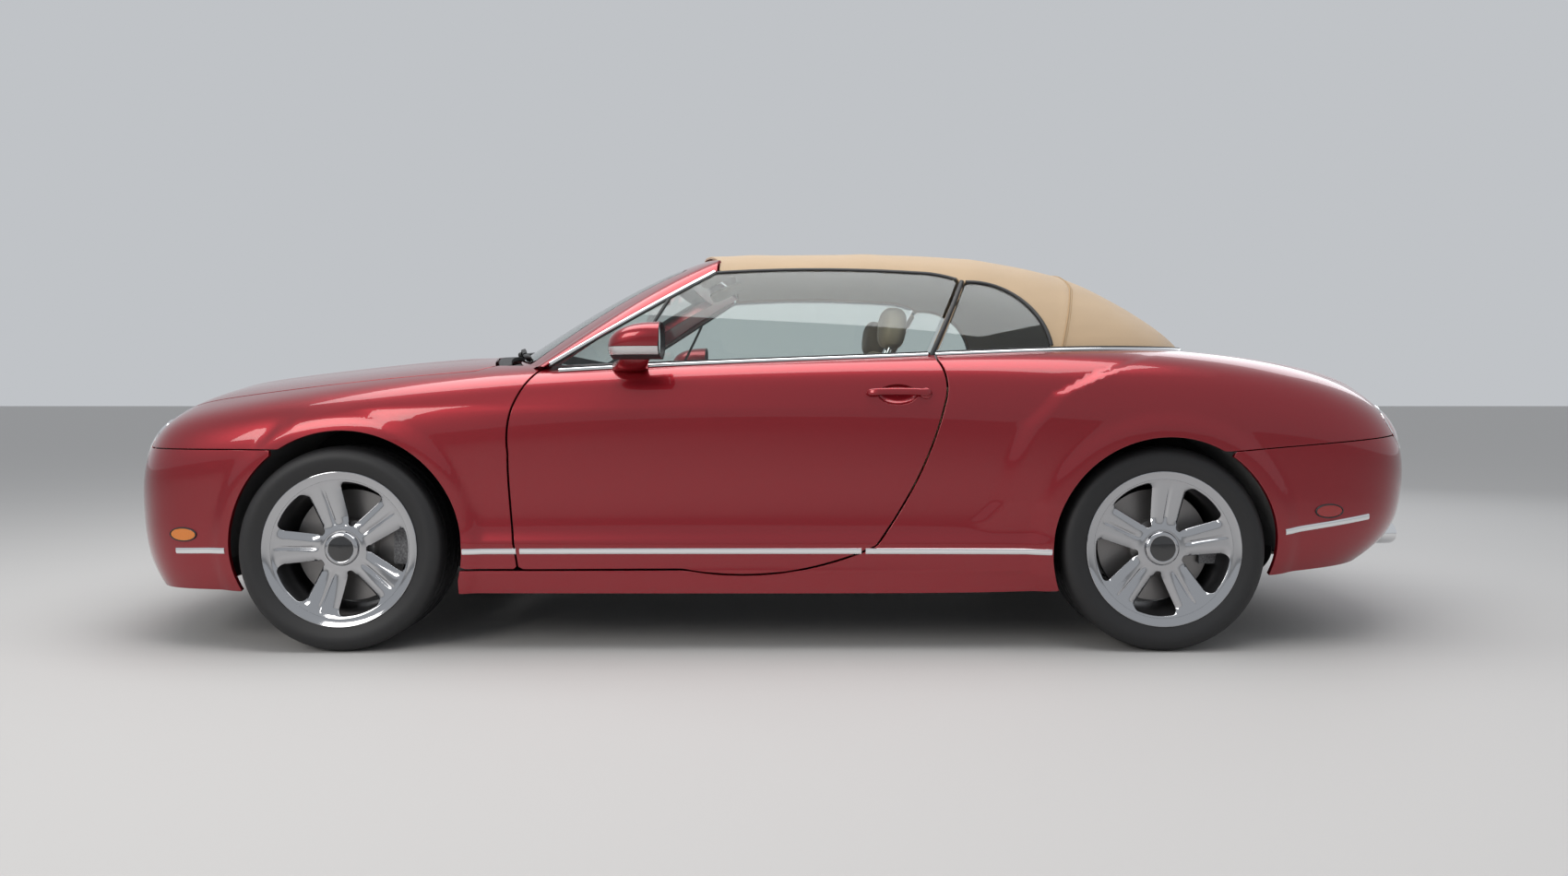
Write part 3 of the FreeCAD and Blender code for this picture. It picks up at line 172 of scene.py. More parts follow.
class Surface:
    """A cage's smooth surface, with an optional outward displacement."""

    def __init__(self, cage, raise_by=None, offset=0.0):
        self.cage = cage
        self.ends = (cage.shape[0] - 3.0, cage.shape[1] - 3.0)
        self.raise_by = raise_by
        self.offset = offset

    def base(self, u, v):
        return np.einsum("ki,kj,ijc->kc", spline_basis(self.cage.shape[0], u),
                         spline_basis(self.cage.shape[1], v), self.cage, optimize=True)

    def base_normal(self, u, v):
        step = 2e-3
        u0, u1 = np.maximum(u - step, 0.0), np.minimum(u + step, self.ends[0])
        v0, v1 = np.maximum(v - step, 0.0), np.minimum(v + step, self.ends[1])
        n = np.cross(self.base(u1, v) - self.base(u0, v), self.base(u, v1) - self.base(u, v0))
        return n / np.maximum(np.linalg.norm(n, axis=1), 1e-9)[:, None]

    def point(self, u, v):
        p = self.base(u, v)
        if self.raise_by is None and self.offset == 0.0:
            return p
        lift = self.offset + (self.raise_by(p) if self.raise_by else 0.0)
        return p + self.base_normal(u, v) * np.reshape(lift, (-1, 1))

    def normal(self, u, v):
        step = 4e-3
        u0, u1 = np.maximum(u - step, 0.0), np.minimum(u + step, self.ends[0])
        v0, v1 = np.maximum(v - step, 0.0), np.minimum(v + step, self.ends[1])
        n = np.cross(self.point(u1, v) - self.point(u0, v), self.point(u, v1) - self.point(u, v0))
        length = np.linalg.norm(n, axis=1)
        n = n / np.maximum(length, 1e-9)[:, None]
        poor = length < 1e-7
        if poor.any():
            n[poor] = self.normal(np.clip(u[poor], 0.05, self.ends[0] - 0.05),
                                  np.clip(v[poor], 0.05, self.ends[1] - 0.05))
        return n


def even_steps(points_of, end, spacing):
    """Parameter values from 0 to end whose points lie about that far apart."""
    t = np.linspace(0.0, end, 1500)
    along = np.concatenate([[0.0], np.cumsum(np.linalg.norm(np.diff(points_of(t), axis=0), axis=1))])
    count = max(int(round(along[-1] / spacing)), 4)
    return np.interp(np.linspace(0.0, along[-1], count + 1), along, t)


# outlines as signed distances, negative inside
def path(start, *steps):
    """A closed outline. Each step is a point to draw a line to, or a middle and an end point of an arc."""
    points = [np.array(start, float)]
    for step in steps:
        if isinstance(step[0], tuple):
            a, b, c = points[-1], np.array(step[0], float), np.array(step[1], float)
            d = 2.0 * ((a[0] * (b[1] - c[1])) + b[0] * (c[1] - a[1]) + c[0] * (a[1] - b[1]))
            if abs(d) < 1e-6:
                points.append(c)
                continue
            sq = [float(p @ p) for p in (a, b, c)]
            centre = np.array([(sq[0] * (b[1] - c[1]) + sq[1] * (c[1] - a[1]) + sq[2] * (a[1] - b[1])) / d,
                               (sq[0] * (c[0] - b[0]) + sq[1] * (a[0] - c[0]) + sq[2] * (b[0] - a[0])) / d])
            angles = [math.atan2(*(p - centre)[::-1]) for p in (a, b, c)]
            span = (angles[2] - angles[0]) % (2 * math.pi)
            if (angles[1] - angles[0]) % (2 * math.pi) > span:
                span -= 2 * math.pi
            radius = math.sqrt(sq[0] - 2 * float(a @ centre) + float(centre @ centre))
            for k in range(1, 25):
                w = angles[0] + span * k / 24
                points.append(centre + radius * np.array([math.cos(w), math.sin(w)]))
        else:
            points.append(np.array(step, float))
    if np.linalg.norm(points[0] - points[-1]) < 1e-6:
        points.pop()
    return np.array(points)


def oval_path(a, b, half_a, half_b):
    w = turns(72)
    return np.stack([a + half_a * np.cos(w), b + half_b * np.sin(w)], axis=1)


def distance(outline, q):
    """Signed distance from each point of q to a closed outline, negative inside."""
    best = np.full(len(q), 1e12)
    inside = np.zeros(len(q), bool)
    for a, b in zip(outline, np.roll(outline, -1, axis=0)):
        edge = b - a
        rel = q - a
        t = np.clip(rel @ edge / max(edge @ edge, 1e-12), 0.0, 1.0)
        best = np.minimum(best, np.sum((rel - t[:, None] * edge) ** 2, axis=1))
        crosses = (a[1] > q[:, 1]) != (b[1] > q[:, 1])
        if abs(edge[1]) > 1e-12:
            inside ^= crosses & (q[:, 0] < a[0] + (q[:, 1] - a[1]) * edge[0] / edge[1])
    return np.where(inside, -1.0, 1.0) * np.sqrt(best)


def side(outline):
    return lambda p: distance(outline, p[:, [0, 2]])


def plan(outline):
    return lambda p: distance(outline, p[:, [0, 1]])


def front(outline):
    return lambda p: distance(outline, p[:, [1, 2]])


def circle_side(x, z, radius):
    return lambda p: np.hypot(p[:, 0] - x, p[:, 2] - z) - radius


def slab(axis, low, high):
    return lambda p: np.maximum(low - p[:, axis], p[:, axis] - high)


def keep(*regions):
    return lambda p: np.max([r(p) for r in regions], axis=0)


def without(region, gap=0.0):
    return lambda p: gap - region(p)


# meshes
def make_object(name, vertices, faces, normals=None):
    mesh = bpy.data.meshes.new(name)
    mesh.from_pydata([tuple(v) for v in np.asarray(vertices) * MM], [], faces)
    mesh.polygons.foreach_set("use_smooth", [True] * len(mesh.polygons))
    if normals is not None:
        mesh.normals_split_custom_set_from_vertices([tuple(n) for n in normals])
    mesh.update()
    obj = bpy.data.objects.new(name, mesh)
    bpy.context.scene.collection.objects.link(obj)
    return obj


def clip(surface, region, spacing, inset):
    """The vertices, faces and normals of a surface inside a region, with its edge on the region's line."""
    us = even_steps(lambda t: surface.base(t, np.full_like(t, 2.4)), surface.ends[0], spacing)
    vs = even_steps(lambda t: surface.base(np.full_like(t, surface.ends[0] / 2), t), surface.ends[1],
                    spacing)
    m, n = len(us), len(vs)
    uu, vv = np.repeat(us, n), np.tile(vs, m)
    p = surface.point(uu, vv)
    f = region(p) + inset
    f[np.abs(f) < 1e-6] = 1e-6
    inside = (f < 0).reshape(m, n)
    corner = np.arange(m * n).reshape(m, n)
    quads = np.stack([corner[:-1, :-1], corner[1:, :-1], corner[1:, 1:], corner[:-1, 1:]],
                     axis=-1).reshape(-1, 4)
    count = inside.reshape(-1)[quads].sum(axis=1)
    faces = quads[count == 4].tolist()
    mixed = quads[(count > 0) & (count < 4)]
    edges = {}
    for quad in mixed:
        for a, b in zip(quad, np.roll(quad, -1)):
            if (f[a] < 0) != (f[b] < 0):
                edges.setdefault((min(a, b), max(a, b)), len(edges))
    if edges:
        pairs = np.array(list(edges))
        swap = f[pairs[:, 0]] > 0
        pairs[swap] = pairs[swap][:, ::-1]
        low, high = np.zeros(len(pairs)), np.ones(len(pairs))
        for _ in range(14):
            mid = (low + high) / 2
            u = uu[pairs[:, 0]] * (1 - mid) + uu[pairs[:, 1]] * mid
            v = vv[pairs[:, 0]] * (1 - mid) + vv[pairs[:, 1]] * mid
            is_in = region(surface.point(u, v)) + inset < 0
            low, high = np.where(is_in, mid, low), np.where(is_in, high, mid)
        u = uu[pairs[:, 0]] * (1 - low) + uu[pairs[:, 1]] * low
        v = vv[pairs[:, 0]] * (1 - low) + vv[pairs[:, 1]] * low
        uu, vv = np.concatenate([uu, u]), np.concatenate([vv, v])
        for quad in mixed:
            polygon = []
            for a, b in zip(quad, np.roll(quad, -1)):
                if f[a] < 0:
                    polygon.append(int(a))
                if (f[a] < 0) != (f[b] < 0):
                    polygon.append(m * n + edges[(min(a, b), max(a, b))])
            if len(polygon) >= 3:
                faces.append(polygon)
    used = np.unique(np.concatenate([np.array(x) for x in faces]))
    renumber = np.full(len(uu), -1)
    renumber[used] = np.arange(len(used))
    uu, vv = uu[used], vv[used]
    faces = [[int(renumber[i]) for i in x] for x in faces]
    return surface.point(uu, vv), faces, surface.normal(uu, vv)


def rim_edges(faces):
    """The directed edges that only one face uses."""
    seen = set()
    for x in faces:
        for a, b in zip(x, x[1:] + x[:1]):
            seen.add((a, b))
    return [(a, b) for a, b in seen if (b, a) not in seen]


def panel(surface, region, name, spacing, depth=14.0, radius=2.2, mirror=False, both=False):
    """A panel of a surface inside a region, with rounded edges that turn in, as an object."""
    p, faces, n = clip(surface, region, spacing, radius)
    return shell(p, faces, n, name, depth, radius, mirror=mirror, both=both)


def shell(p, faces, n, name, depth, radius, back=True, mirror=False, both=False, seam=None):
    """Turns the edges of an open mesh in, round a small radius, and closes its back."""
    if both:
        seam = np.abs(p[:, 1]) < 0.5
    elif seam is None:
        seam = np.zeros(len(p), bool)
    edges = [(a, b) for a, b in rim_edges(faces) if not (seam[a] and seam[b])]
    out = np.zeros_like(p)
    for a, b in edges:
        t = np.cross(p[b] - p[a], (n[a] + n[b]) / 2)
        out[a] += t
        out[b] += t
    ring = sorted({i for e in edges for i in e})
    t = out[ring]
    if both:
        t[np.abs(p[ring, 1]) < 0.5, 1] = 0.0
    t /= np.maximum(np.linalg.norm(t, axis=1), 1e-9)[:, None]
    pr, nr = p[ring], n[ring]
    place = {i: k for k, i in enumerate(ring)}
    points, normals, all_faces = [p], [n], list(faces)
    angles = [30.0, 60.0, 90.0]
    previous = {i: i for i in ring}
    for angle in angles + [None]:
        start = sum(len(x) for x in points)
        if angle is None:
            points.append(pr + t * radius - nr * depth)
            normals.append(t)
        else:
            w = math.radians(angle)
            points.append(pr + t * radius * math.sin(w) - nr * radius * (1 - math.cos(w)))
            normals.append(nr * math.cos(w) + t * math.sin(w))
        for a, b in edges:
            all_faces.append([previous[a], start + place[a], start + place[b], previous[b]])
        previous = {i: start + place[i] for i in ring}
    if back:
        start = sum(len(x) for x in points)
        points.append(p - n * depth)
        normals.append(-n)
        all_faces += [[start + i for i in reversed(x)] for x in faces]
        for a, b in edges:
            all_faces.append([previous[a], start + a, start + b, previous[b]])
    points, normals = np.concatenate(points), np.concatenate(normals)
    if both:
        start = len(points)
        points, normals = np.concatenate([points, points * FLIP]), np.concatenate([normals, normals * FLIP])
        all_faces = all_faces + [[start + i for i in reversed(x)] for x in all_faces]
    elif mirror:
        points, normals = points * FLIP, normals * FLIP
        all_faces = [list(reversed(x)) for x in all_faces]
    return make_object(name, points, all_faces, normals)


# shut lines
BELT_JOINT_Z = 968.0
DOOR_LINE = path((768, 1100), (768, 962), (805, 937), ((878, 801), (887, 665)), ((882, 490), (859, 290)),
                 (857, 276), (310, 278), ((-150, 292), (-331, 356)), ((-478, 600), (-560, 835)),
                 ((-566, 905), (-540, 975)), (-525, 1100))
WING_LINE = path((700, 277), (X_FRONT_AXLE, 277), (X_FRONT_AXLE, 676), (2175, 676), (2175, 1150),
                 (700, 1150))
REAR_BUMPER_LINE = path((X_REAR_AXLE, 100), (X_REAR_AXLE, 652), (X_TAIL - 100, 742), (X_TAIL - 100, 100))
BONNET_LINE = path((1078, 0), ((1062, 380), (985, 735)), (1040, 795), ((1650, 752), (2060, 655)),
                   ((2160, 560), (2195, 400)), ((2218, 0), (2195, -400)), ((2160, -560), (2060, -655)),
                   ((1650, -752), (1040, -795)), (985, -735), ((1062, -380), (1078, 0)))
SCUTTLE_LINE = path((1066, 0), ((1050, 380), (975, 728)), (925, 748), ((1002, 380), (1020, 0)),
                    ((1002, -380), (925, -748)), (975, -728), ((1050, -380), (1066, 0)))
CABIN_LINE = path((1019, 0), ((1001, 380), (924, 749)), (790, 792), (-700, 790),
                  ((-1080, 828), (-1320, 740)), ((-1500, 520), (-1556, 0)),
                  ((-1500, -520), (-1320, -740)), ((-1080, -828), (-700, -790)), (790, -792), (924, -749),
                  ((1001, -380), (1019, 0)))
LID_LINE = path((-1648, 0), ((-1645, 330), (-1625, 640)), ((-1950, 640), (-2200, 540)), (-2500, 505),
                (-2500, -505), (-2200, -540), ((-1950, -640), (-1625, -640)), ((-1645, -330), (-1648, 0)))
DECK_LINE = path((-1300, 642), (-1636, 642), ((-1640, 0), (-1636, -642)), (-1300, -642))
DOOR_GLASS_LINE = path((775, 900), (775, 950), (215, 1288), ((-130, 1300), (-500, 1288)),
                       ((-570, 1281), (-641, 1262)), (-512, 1000), (-500, 900))
QUARTER_GLASS_LINE = path((-545, 985), (-672, 1254), ((-850, 1197), (-944, 1024)), (-944, 985))
ROOF_PLAN_LINE = path((206, 608), ((278, 310), (302, 0)), ((278, -310), (206, -608)), (206, -1000),
                      (-2000, -1000), (-2000, 1000), (206, 1000))
REAR_GLASS_LINE = path((-300, 1108), ((-345, 1125), (-335, 1170)), ((-310, 1225), (-250, 1236)),
                       ((0, 1246), (250, 1236)), ((310, 1225), (335, 1170)), ((345, 1125), (300, 1108)))
SCREEN_LINE = path((-728, 968), (-558, 1312), ((0, 1348), (558, 1312)), (728, 968),
                   ((0, 1000), (-728, 968)))
GRILLE_LINE = path((-255, 505), ((-320, 560), (-345, 700)), ((-335, 768), (-270, 785)),
                   ((0, 800), (270, 785)), ((335, 768), (345, 700)), ((320, 560), (255, 505)),
                   ((0, 495), (-255, 505)))
MIDDLE_INTAKE_LINE = path((-330, 262), ((-372, 300), (-350, 392)), ((0, 404), (350, 392)),
                          ((372, 300), (330, 262)), ((0, 254), (-330, 262)))
OUTER_INTAKE_LINE = path((452, 268), ((425, 320), (440, 400)), ((600, 408), (735, 396)),
                         ((752, 330), (715, 276)), ((580, 262), (452, 268)))
HEADLAMPS = [(478.0, 686.0, 92.0), (668.0, 700.0, 68.0)]
TAIL_LAMP = (648.0, 742.0, 128.0, 78.0)
EXHAUST = (520.0, 352.0, 82.0, 46.0)
LID_FOOT_Z = 560.0

front_arch = circle_side(X_FRONT_ARCH, Z_FRONT_ARCH, FRONT_ARCH_RADIUS)
rear_arch = circle_side(X_REAR_ARCH, Z_REAR_ARCH, REAR_ARCH_RADIUS)
front_end, tail_end = slab(0, 1700, 2600), slab(0, -2600, -1900)
lamp_holes = [without(keep(front(oval_path(y, z, r, r)), front_end)) for y, z, r in HEADLAMPS]
tail_hole = without(keep(front(oval_path(*TAIL_LAMP)), tail_end))
y, z, w, h = EXHAUST
exhaust_hole = without(keep(front(oval_path(y, z, w + 12, h + 12)), tail_end))
above = slab(2, 600, 1500)
door_region = side(DOOR_LINE)
wing_region = side(WING_LINE)
bonnet_region = keep(plan(BONNET_LINE), above)
scuttle_region = keep(plan(SCUTTLE_LINE), above)
cabin_region = keep(plan(CABIN_LINE), above)
lid_region = keep(plan(LID_LINE), slab(2, LID_FOOT_Z, 1500))
deck_region = keep(plan(DECK_LINE), above)
rear_bumper_region = side(REAR_BUMPER_LINE)
door_outer = slab(1, 790, 1200)


def soften(d, radius):
    """The distance from a fold line with its crest rounded off."""
    return np.sqrt(d ** 2 + radius ** 2) - radius


def creases(p):
    """How far the body stands out from its plain form: waist line, arch lips, sides, haunch and folds."""
    x, y, z = p[:, 0], np.abs(p[:, 1]), p[:, 2]
    on_side = np.clip((y - 640.0) / 120.0, 0.0, 1.0)
    waist = np.interp(x, [-700, -409, 888, 1045, 1241, 1358, 1496, 1573, 1644, 1702],
                      [812, 812, 806, 812, 809, 806, 790, 778, 747, 680])
    size = np.interp(x, [-760, -200, 600, 1200, 1600, 1720], [0.0, 3.0, 6.5, 8.0, 7.0, 0.0])
    s = z - waist
    lift = size * np.exp(-soften(s, 16.0) / np.where(s > 0, 30.0, 85.0)) * on_side
    for arch_x, arch_z, radius, rise, width in ((X_FRONT_ARCH, Z_FRONT_ARCH, FRONT_ARCH_RADIUS, 7.0, 52.0),
                                                (X_REAR_ARCH, Z_REAR_ARCH, REAR_ARCH_RADIUS, 9.0, 66.0)):
        r = np.hypot(x - arch_x, z - arch_z) - radius
        lift += rise * np.exp(-(np.maximum(r, 0.0) / width) ** 4) * on_side
    between = np.clip((x + 1010.0) / 160.0, 0, 1) * np.clip((1130.0 - x) / 160.0, 0, 1) * on_side
    lift -= 11.0 * between * np.exp(-((z - 470.0) / 105.0) ** 2)
    lift += 8.0 * between * np.exp(-(np.where(z > 362, z - 362.0, (362.0 - z) * 0.8) / 24.0) ** 2)
    lift += 3.0 * between * np.exp(-np.abs(z - 268.0) / 12.0)
    edge = np.interp(z, [440, 500, 640, 760, 860, 930, 1000], [-640, -700, -745, -800, -900, -1050, -1250])
    back = edge - x
    start = np.clip(back / 80.0, 0, 1)
    haunch = 13.0 * start ** 2 * (3 - 2 * start) * np.exp(-np.maximum(back, 0) / 520.0)
    lift += haunch * on_side * np.clip((z - 380.0) / 120.0, 0, 1) * np.clip((1010.0 - z) / 90.0, 0, 1)
    fold = np.interp(x, [1000, 2250], [470.0, 330.0])
    on_top = np.clip((x - 1000.0) / 150.0, 0, 1) * np.clip((2260.0 - x) / 200.0, 0, 1)
    on_top *= np.clip((z - 700.0) / 60.0, 0, 1)
    lift += 5.0 * on_top * np.exp(-soften(y - fold, 14.0) / np.where(y > fold, 45.0, 160.0))
    return lift


skin = Surface(body_cage(), creases)
body_surface = Surface(body_cage())
roof_surface = Surface(roof_cage())
screen_surface = Surface(screen_cage())

CUP_X, CUP_Z, CUP_HALF_X, CUP_HALF_Z = -405.0, 858.0, 66.0, 34.0
handle_cup = side(oval_path(CUP_X, CUP_Z, CUP_HALF_X, CUP_HALF_Z))

REGIONS = {
    "door": keep(door_region, without(cabin_region), without(handle_cup), door_outer),
    "front_wing": keep(wing_region, without(door_region, SHUT_GAP), without(bonnet_region, SHUT_GAP),
                       without(scuttle_region, 3), without(cabin_region), without(front_arch), *lamp_holes),
    "rear_quarter": keep(slab(0, -2600, 1060), without(door_region, SHUT_GAP),
                         without(wing_region, SHUT_GAP), without(rear_bumper_region, 3),
                         without(cabin_region), without(lid_region, SHUT_GAP), without(deck_region, 2),
                         without(front_arch), without(rear_arch), tail_hole),
    "bonnet": bonnet_region,
    "boot_lid": lid_region,
    "scuttle": scuttle_region,
    "rear_deck": keep(deck_region, without(cabin_region)),
    "front_bumper": keep(slab(0, X_FRONT_AXLE, 2600), without(wing_region, 3),
                         without(bonnet_region, SHUT_GAP), without(front_arch),
                         without(keep(front(GRILLE_LINE), front_end)),
                         without(keep(front(MIDDLE_INTAKE_LINE), front_end)),
                         without(keep(front(OUTER_INTAKE_LINE), front_end)), *lamp_holes),
    "rear_bumper": keep(rear_bumper_region, without(rear_arch), without(lid_region, SHUT_GAP), tail_hole,
                        exhaust_hole),
}


# lines and sweeps on surfaces
def locate(surface, axes, targets):
    """Parameters of the points of a surface whose two named coordinates are the targets."""
    targets = np.asarray(targets, float)
    us = np.linspace(0.0, surface.ends[0], 90)
    vs = np.linspace(0.0, surface.ends[1], 60)
    uu, vv = np.repeat(us, 60), np.tile(vs, 90)
    samples = surface.base(uu, vv)[:, axes]
    near = np.array([np.argmin(np.sum((samples - t) ** 2, axis=1)) for t in targets])
    u, v = uu[near].copy(), vv[near].copy()
    h = 1e-3
    for _ in range(12):
        p = surface.base(u, v)[:, axes]
        u1, v1 = np.minimum(u + h, surface.ends[0]), np.minimum(v + h, surface.ends[1])
        u0, v0 = np.maximum(u - h, 0), np.maximum(v - h, 0)
        du = (surface.base(u1, v)[:, axes] - surface.base(u0, v)[:, axes]) / (u1 - u0)[:, None]
        dv = (surface.base(u, v1)[:, axes] - surface.base(u, v0)[:, axes]) / (v1 - v0)[:, None]
        e = targets - p
        det = du[:, 0] * dv[:, 1] - du[:, 1] * dv[:, 0]
        det = np.where(np.abs(det) < 1e-6, 1e-6, det)
        step_u = np.clip((e[:, 0] * dv[:, 1] - e[:, 1] * dv[:, 0]) / det, -0.5, 0.5)
        step_v = np.clip((du[:, 0] * e[:, 1] - du[:, 1] * e[:, 0]) / det, -0.5, 0.5)
        u = np.clip(u + step_u, 0, surface.ends[0])
        v = np.clip(v + step_v, 0, surface.ends[1])
    return u, v


def line_on(surface, axes, targets, lift=0.0):
    """Points and outward normals of a surface along a line given by two coordinates."""
    u, v = locate(surface, axes, targets)
    n = surface.normal(u, v)
    return surface.point(u, v) + n * lift, n


def spread(points, count):
    """The points of a smooth line through a few given points."""
    points = np.array(points, float)
    t = np.concatenate([[0.0], np.cumsum(np.linalg.norm(np.diff(points, axis=0), axis=1))])
    slopes = np.gradient(points, t, axis=0)
    out = []
    for x in np.linspace(0.0, t[-1], count):
        i = min(np.searchsorted(t, x, side="right") - 1, len(t) - 2)
        h = t[i + 1] - t[i]
        w = (x - t[i]) / h
        out.append((2 * w ** 3 - 3 * w ** 2 + 1) * points[i] + (w ** 3 - 2 * w ** 2 + w) * h * slopes[i]
                   + (3 * w ** 2 - 2 * w ** 3) * points[i + 1] + (w ** 3 - w ** 2) * h * slopes[i + 1])
    return np.array(out)


def sweep(name, points, ups, profile, closed=False, mirror=False, taper=0.0):
    """A bar along a line. The profile's corners are offsets across and along the given up directions."""
    points, ups = np.asarray(points, float), np.asarray(ups, float)
    if closed:
        along = np.roll(points, -1, axis=0) - np.roll(points, 1, axis=0)
    else:
        along = np.gradient(points, axis=0)
    along /= np.maximum(np.linalg.norm(along, axis=1), 1e-9)[:, None]
    across = np.cross(ups, along)
    across /= np.maximum(np.linalg.norm(across, axis=1), 1e-9)[:, None]
    ups = np.cross(along, across)
    size = np.ones(len(points))
    if taper and not closed:
        run = np.concatenate([[0.0], np.cumsum(np.linalg.norm(np.diff(points, axis=0), axis=1))])
        size = np.clip(np.minimum(run, run[-1] - run) / taper, 0.02, 1.0) ** 0.5
    a, b = np.array(profile, float).T[:, None, :, None]
    rings = points[:, None, :] + size[:, None, None] * (across[:, None, :] * a + ups[:, None, :] * b)
    count, corners = rings.shape[:2]
    vertices = rings.reshape(-1, 3)
    faces = []
    for i in range(count if closed else count - 1):
        j = (i + 1) % count
        for a in range(corners):
            b = (a + 1) % corners
            faces.append([i * corners + a, j * corners + a, j * corners + b, i * corners + b])
    if not closed:
        faces.append(list(range(corners)))
        faces.append(list(range((count - 1) * corners, count * corners))[::-1])
    if mirror:
        vertices = vertices * FLIP
        faces = [f[::-1] for f in faces]
    return fix_normals(make_object(name, vertices, faces))


def fix_normals(obj, angle=40.0, weld=0.0):
    """Makes the faces of a closed mesh point outwards and keeps edges sharper than an angle crisp."""
    mesh = bmesh.new()
    mesh.from_mesh(obj.data)
    if weld:
        bmesh.ops.remove_doubles(mesh, verts=mesh.verts, dist=weld)
    bmesh.ops.recalc_face_normals(mesh, faces=mesh.faces)
    mesh.to_mesh(obj.data)
    mesh.free()
    obj.data.set_sharp_from_angle(angle=math.radians(angle))
    return obj


def round_profile(width, height, count):
    """A half-round moulding profile, flat side down."""
    w = np.linspace(0, math.pi, count)
    return [(width / 2 * math.cos(a), height * math.sin(a) ** 0.7) for a in w]


def circle_profile(radius, count):
    return [(radius * math.cos(a), radius * math.sin(a)) for a in turns(count)]


def lathe(name, profile, centre, steps, flip, close=False):
    """A ring about a Y axis through a centre, from (distance along the axis, radius) points."""
    w = turns(steps)
    vertices = [(centre[0] + r * math.sin(a), centre[1] + flip * t, centre[2] + r * math.cos(a))
                for a in w for t, r in profile]
    m = len(profile)
    faces = []
    for i in range(steps):
        j = (i + 1) % steps
        for a in range(m if close else m - 1):
            b = (a + 1) % m
            faces.append([i * m + a, i * m + b, j * m + b, j * m + a])
    return fix_normals(make_object(name, vertices, faces), 35.0)


def join(name, objs):
    """One object from several, with their materials kept."""
    bpy.ops.object.select_all(action="DESELECT")
    for o in objs:
        o.select_set(True)
    bpy.context.view_layer.objects.active = objs[0]
    bpy.ops.object.join()
    objs[0].name = name
    return objs[0]


# materials
def material(name, color, rough, metal=0.0, **inputs):
    mat = bpy.data.materials.new(name)
    mat.use_nodes = True
    b = mat.node_tree.nodes["Principled BSDF"]
    b.inputs["Base Color"].default_value = (*color, 1.0)
    b.inputs["Roughness"].default_value = rough
    b.inputs["Metallic"].default_value = metal
    for key, value in inputs.items():
        b.inputs[key.replace("_", " ")].default_value = value
    return mat


def node(mat, kind, links=(), **values):
    """A shader node with its input values set and (socket, from node, output) links made."""
    tree = mat.node_tree
    made = tree.nodes.new(kind)
    for key, value in values.items():
        if hasattr(made, key):
            setattr(made, key, value)
        else:
            made.inputs[key.replace("_", " ")].default_value = value
    for socket, source, output in links:
        tree.links.new(source.outputs[output], made.inputs[socket])
    return made


def principled(mat):
    return mat.node_tree.nodes["Principled BSDF"]


def grain(mat, scale, strength, distance=0.001, detail=4.0, tones=None):
    """Adds a fine bump from object coordinates, and a slight variation of colour between two tones."""
    coord = node(mat, "ShaderNodeTexCoord")
    noise = node(mat, "ShaderNodeTexNoise", [("Vector", coord, "Object")], Scale=scale, Detail=detail)
    bump = node(mat, "ShaderNodeBump", [("Height", noise, "Fac")], Strength=strength, Distance=distance)
    mat.node_tree.links.new(bump.outputs["Normal"], principled(mat).inputs["Normal"])
    if tones:
        ramp = node(mat, "ShaderNodeValToRGB", [("Fac", noise, "Fac")])
        ramp.color_ramp.elements[0].position, ramp.color_ramp.elements[1].position = 0.35, 0.65
        ramp.color_ramp.elements[0].color = (*tones[0], 1.0)
        ramp.color_ramp.elements[1].color = (*tones[1], 1.0)
        mat.node_tree.links.new(ramp.outputs["Color"], principled(mat).inputs["Base Color"])
    return mat


def paint_material():
    mat = material("paint_red", (0.22, 0.004, 0.010), 0.34, 0.72, Coat_Weight=1.0, Coat_Roughness=0.025,
                   Coat_IOR=1.5)
    coord = node(mat, "ShaderNodeTexCoord")
    flakes = node(mat, "ShaderNodeTexVoronoi", [("Vector", coord, "Object")], Scale=2600.0)
    tone = node(mat, "ShaderNodeValToRGB", [("Fac", flakes, "Color")])
    tone.color_ramp.elements[0].color = (0.21, 0.004, 0.010, 1)
    tone.color_ramp.elements[1].color = (0.34, 0.008, 0.018, 1)
    mat.node_tree.links.new(tone.outputs["Color"], principled(mat).inputs["Base Color"])
    bump = node(mat, "ShaderNodeBump", [("Height", flakes, "Distance")], Strength=0.06, Distance=0.0004)
    mat.node_tree.links.new(bump.outputs["Normal"], principled(mat).inputs["Normal"])
    return mat


PAINT = paint_material()
BLACK = grain(material("black_plastic", (0.012, 0.012, 0.013), 0.55), 900, 0.15)
CHROME = material("chrome_bright", (0.86, 0.87, 0.88), 0.06, 1.0)
PIPING = material("piping", (0.02, 0.02, 0.021), 0.55)
SEAL = material("seal_rubber", (0.012, 0.012, 0.013), 0.45)
TINTED_GLASS = material("window_glass", (0.80, 0.86, 0.84), 0.02, Transmission_Weight=1.0, IOR=1.45,
                        Alpha=1.0)
THREAD = material("thread", (0.36, 0.24, 0.13), 0.8)
RED_LENS = material("red_lens", (0.45, 0.006, 0.006), 0.08, 0.0, Coat_Weight=1.0, Transmission_Weight=0.35)
AMBER_LENS = material("amber_lens", (0.85, 0.24, 0.01), 0.12, 0.0, Coat_Weight=1.0,
                      Transmission_Weight=0.25)
LENS = material("lamp_lens", (0.92, 0.95, 0.96), 0.01, 0.0, IOR=1.45, Transmission_Weight=1.0)
RIBBED = material("ribbed_lens", (0.62, 0.60, 0.60), 0.16, 0.35, Coat_Weight=1.0)
SILVER = material("silvered", (0.9, 0.9, 0.92), 0.015, 1.0)
REFLECTOR = material("lamp_reflector", (0.74, 0.75, 0.77), 0.12, 1.0)
DARK_GLASS = material("projector_glass", (0.10, 0.11, 0.12), 0.03, 0.2, Coat_Weight=1.0)
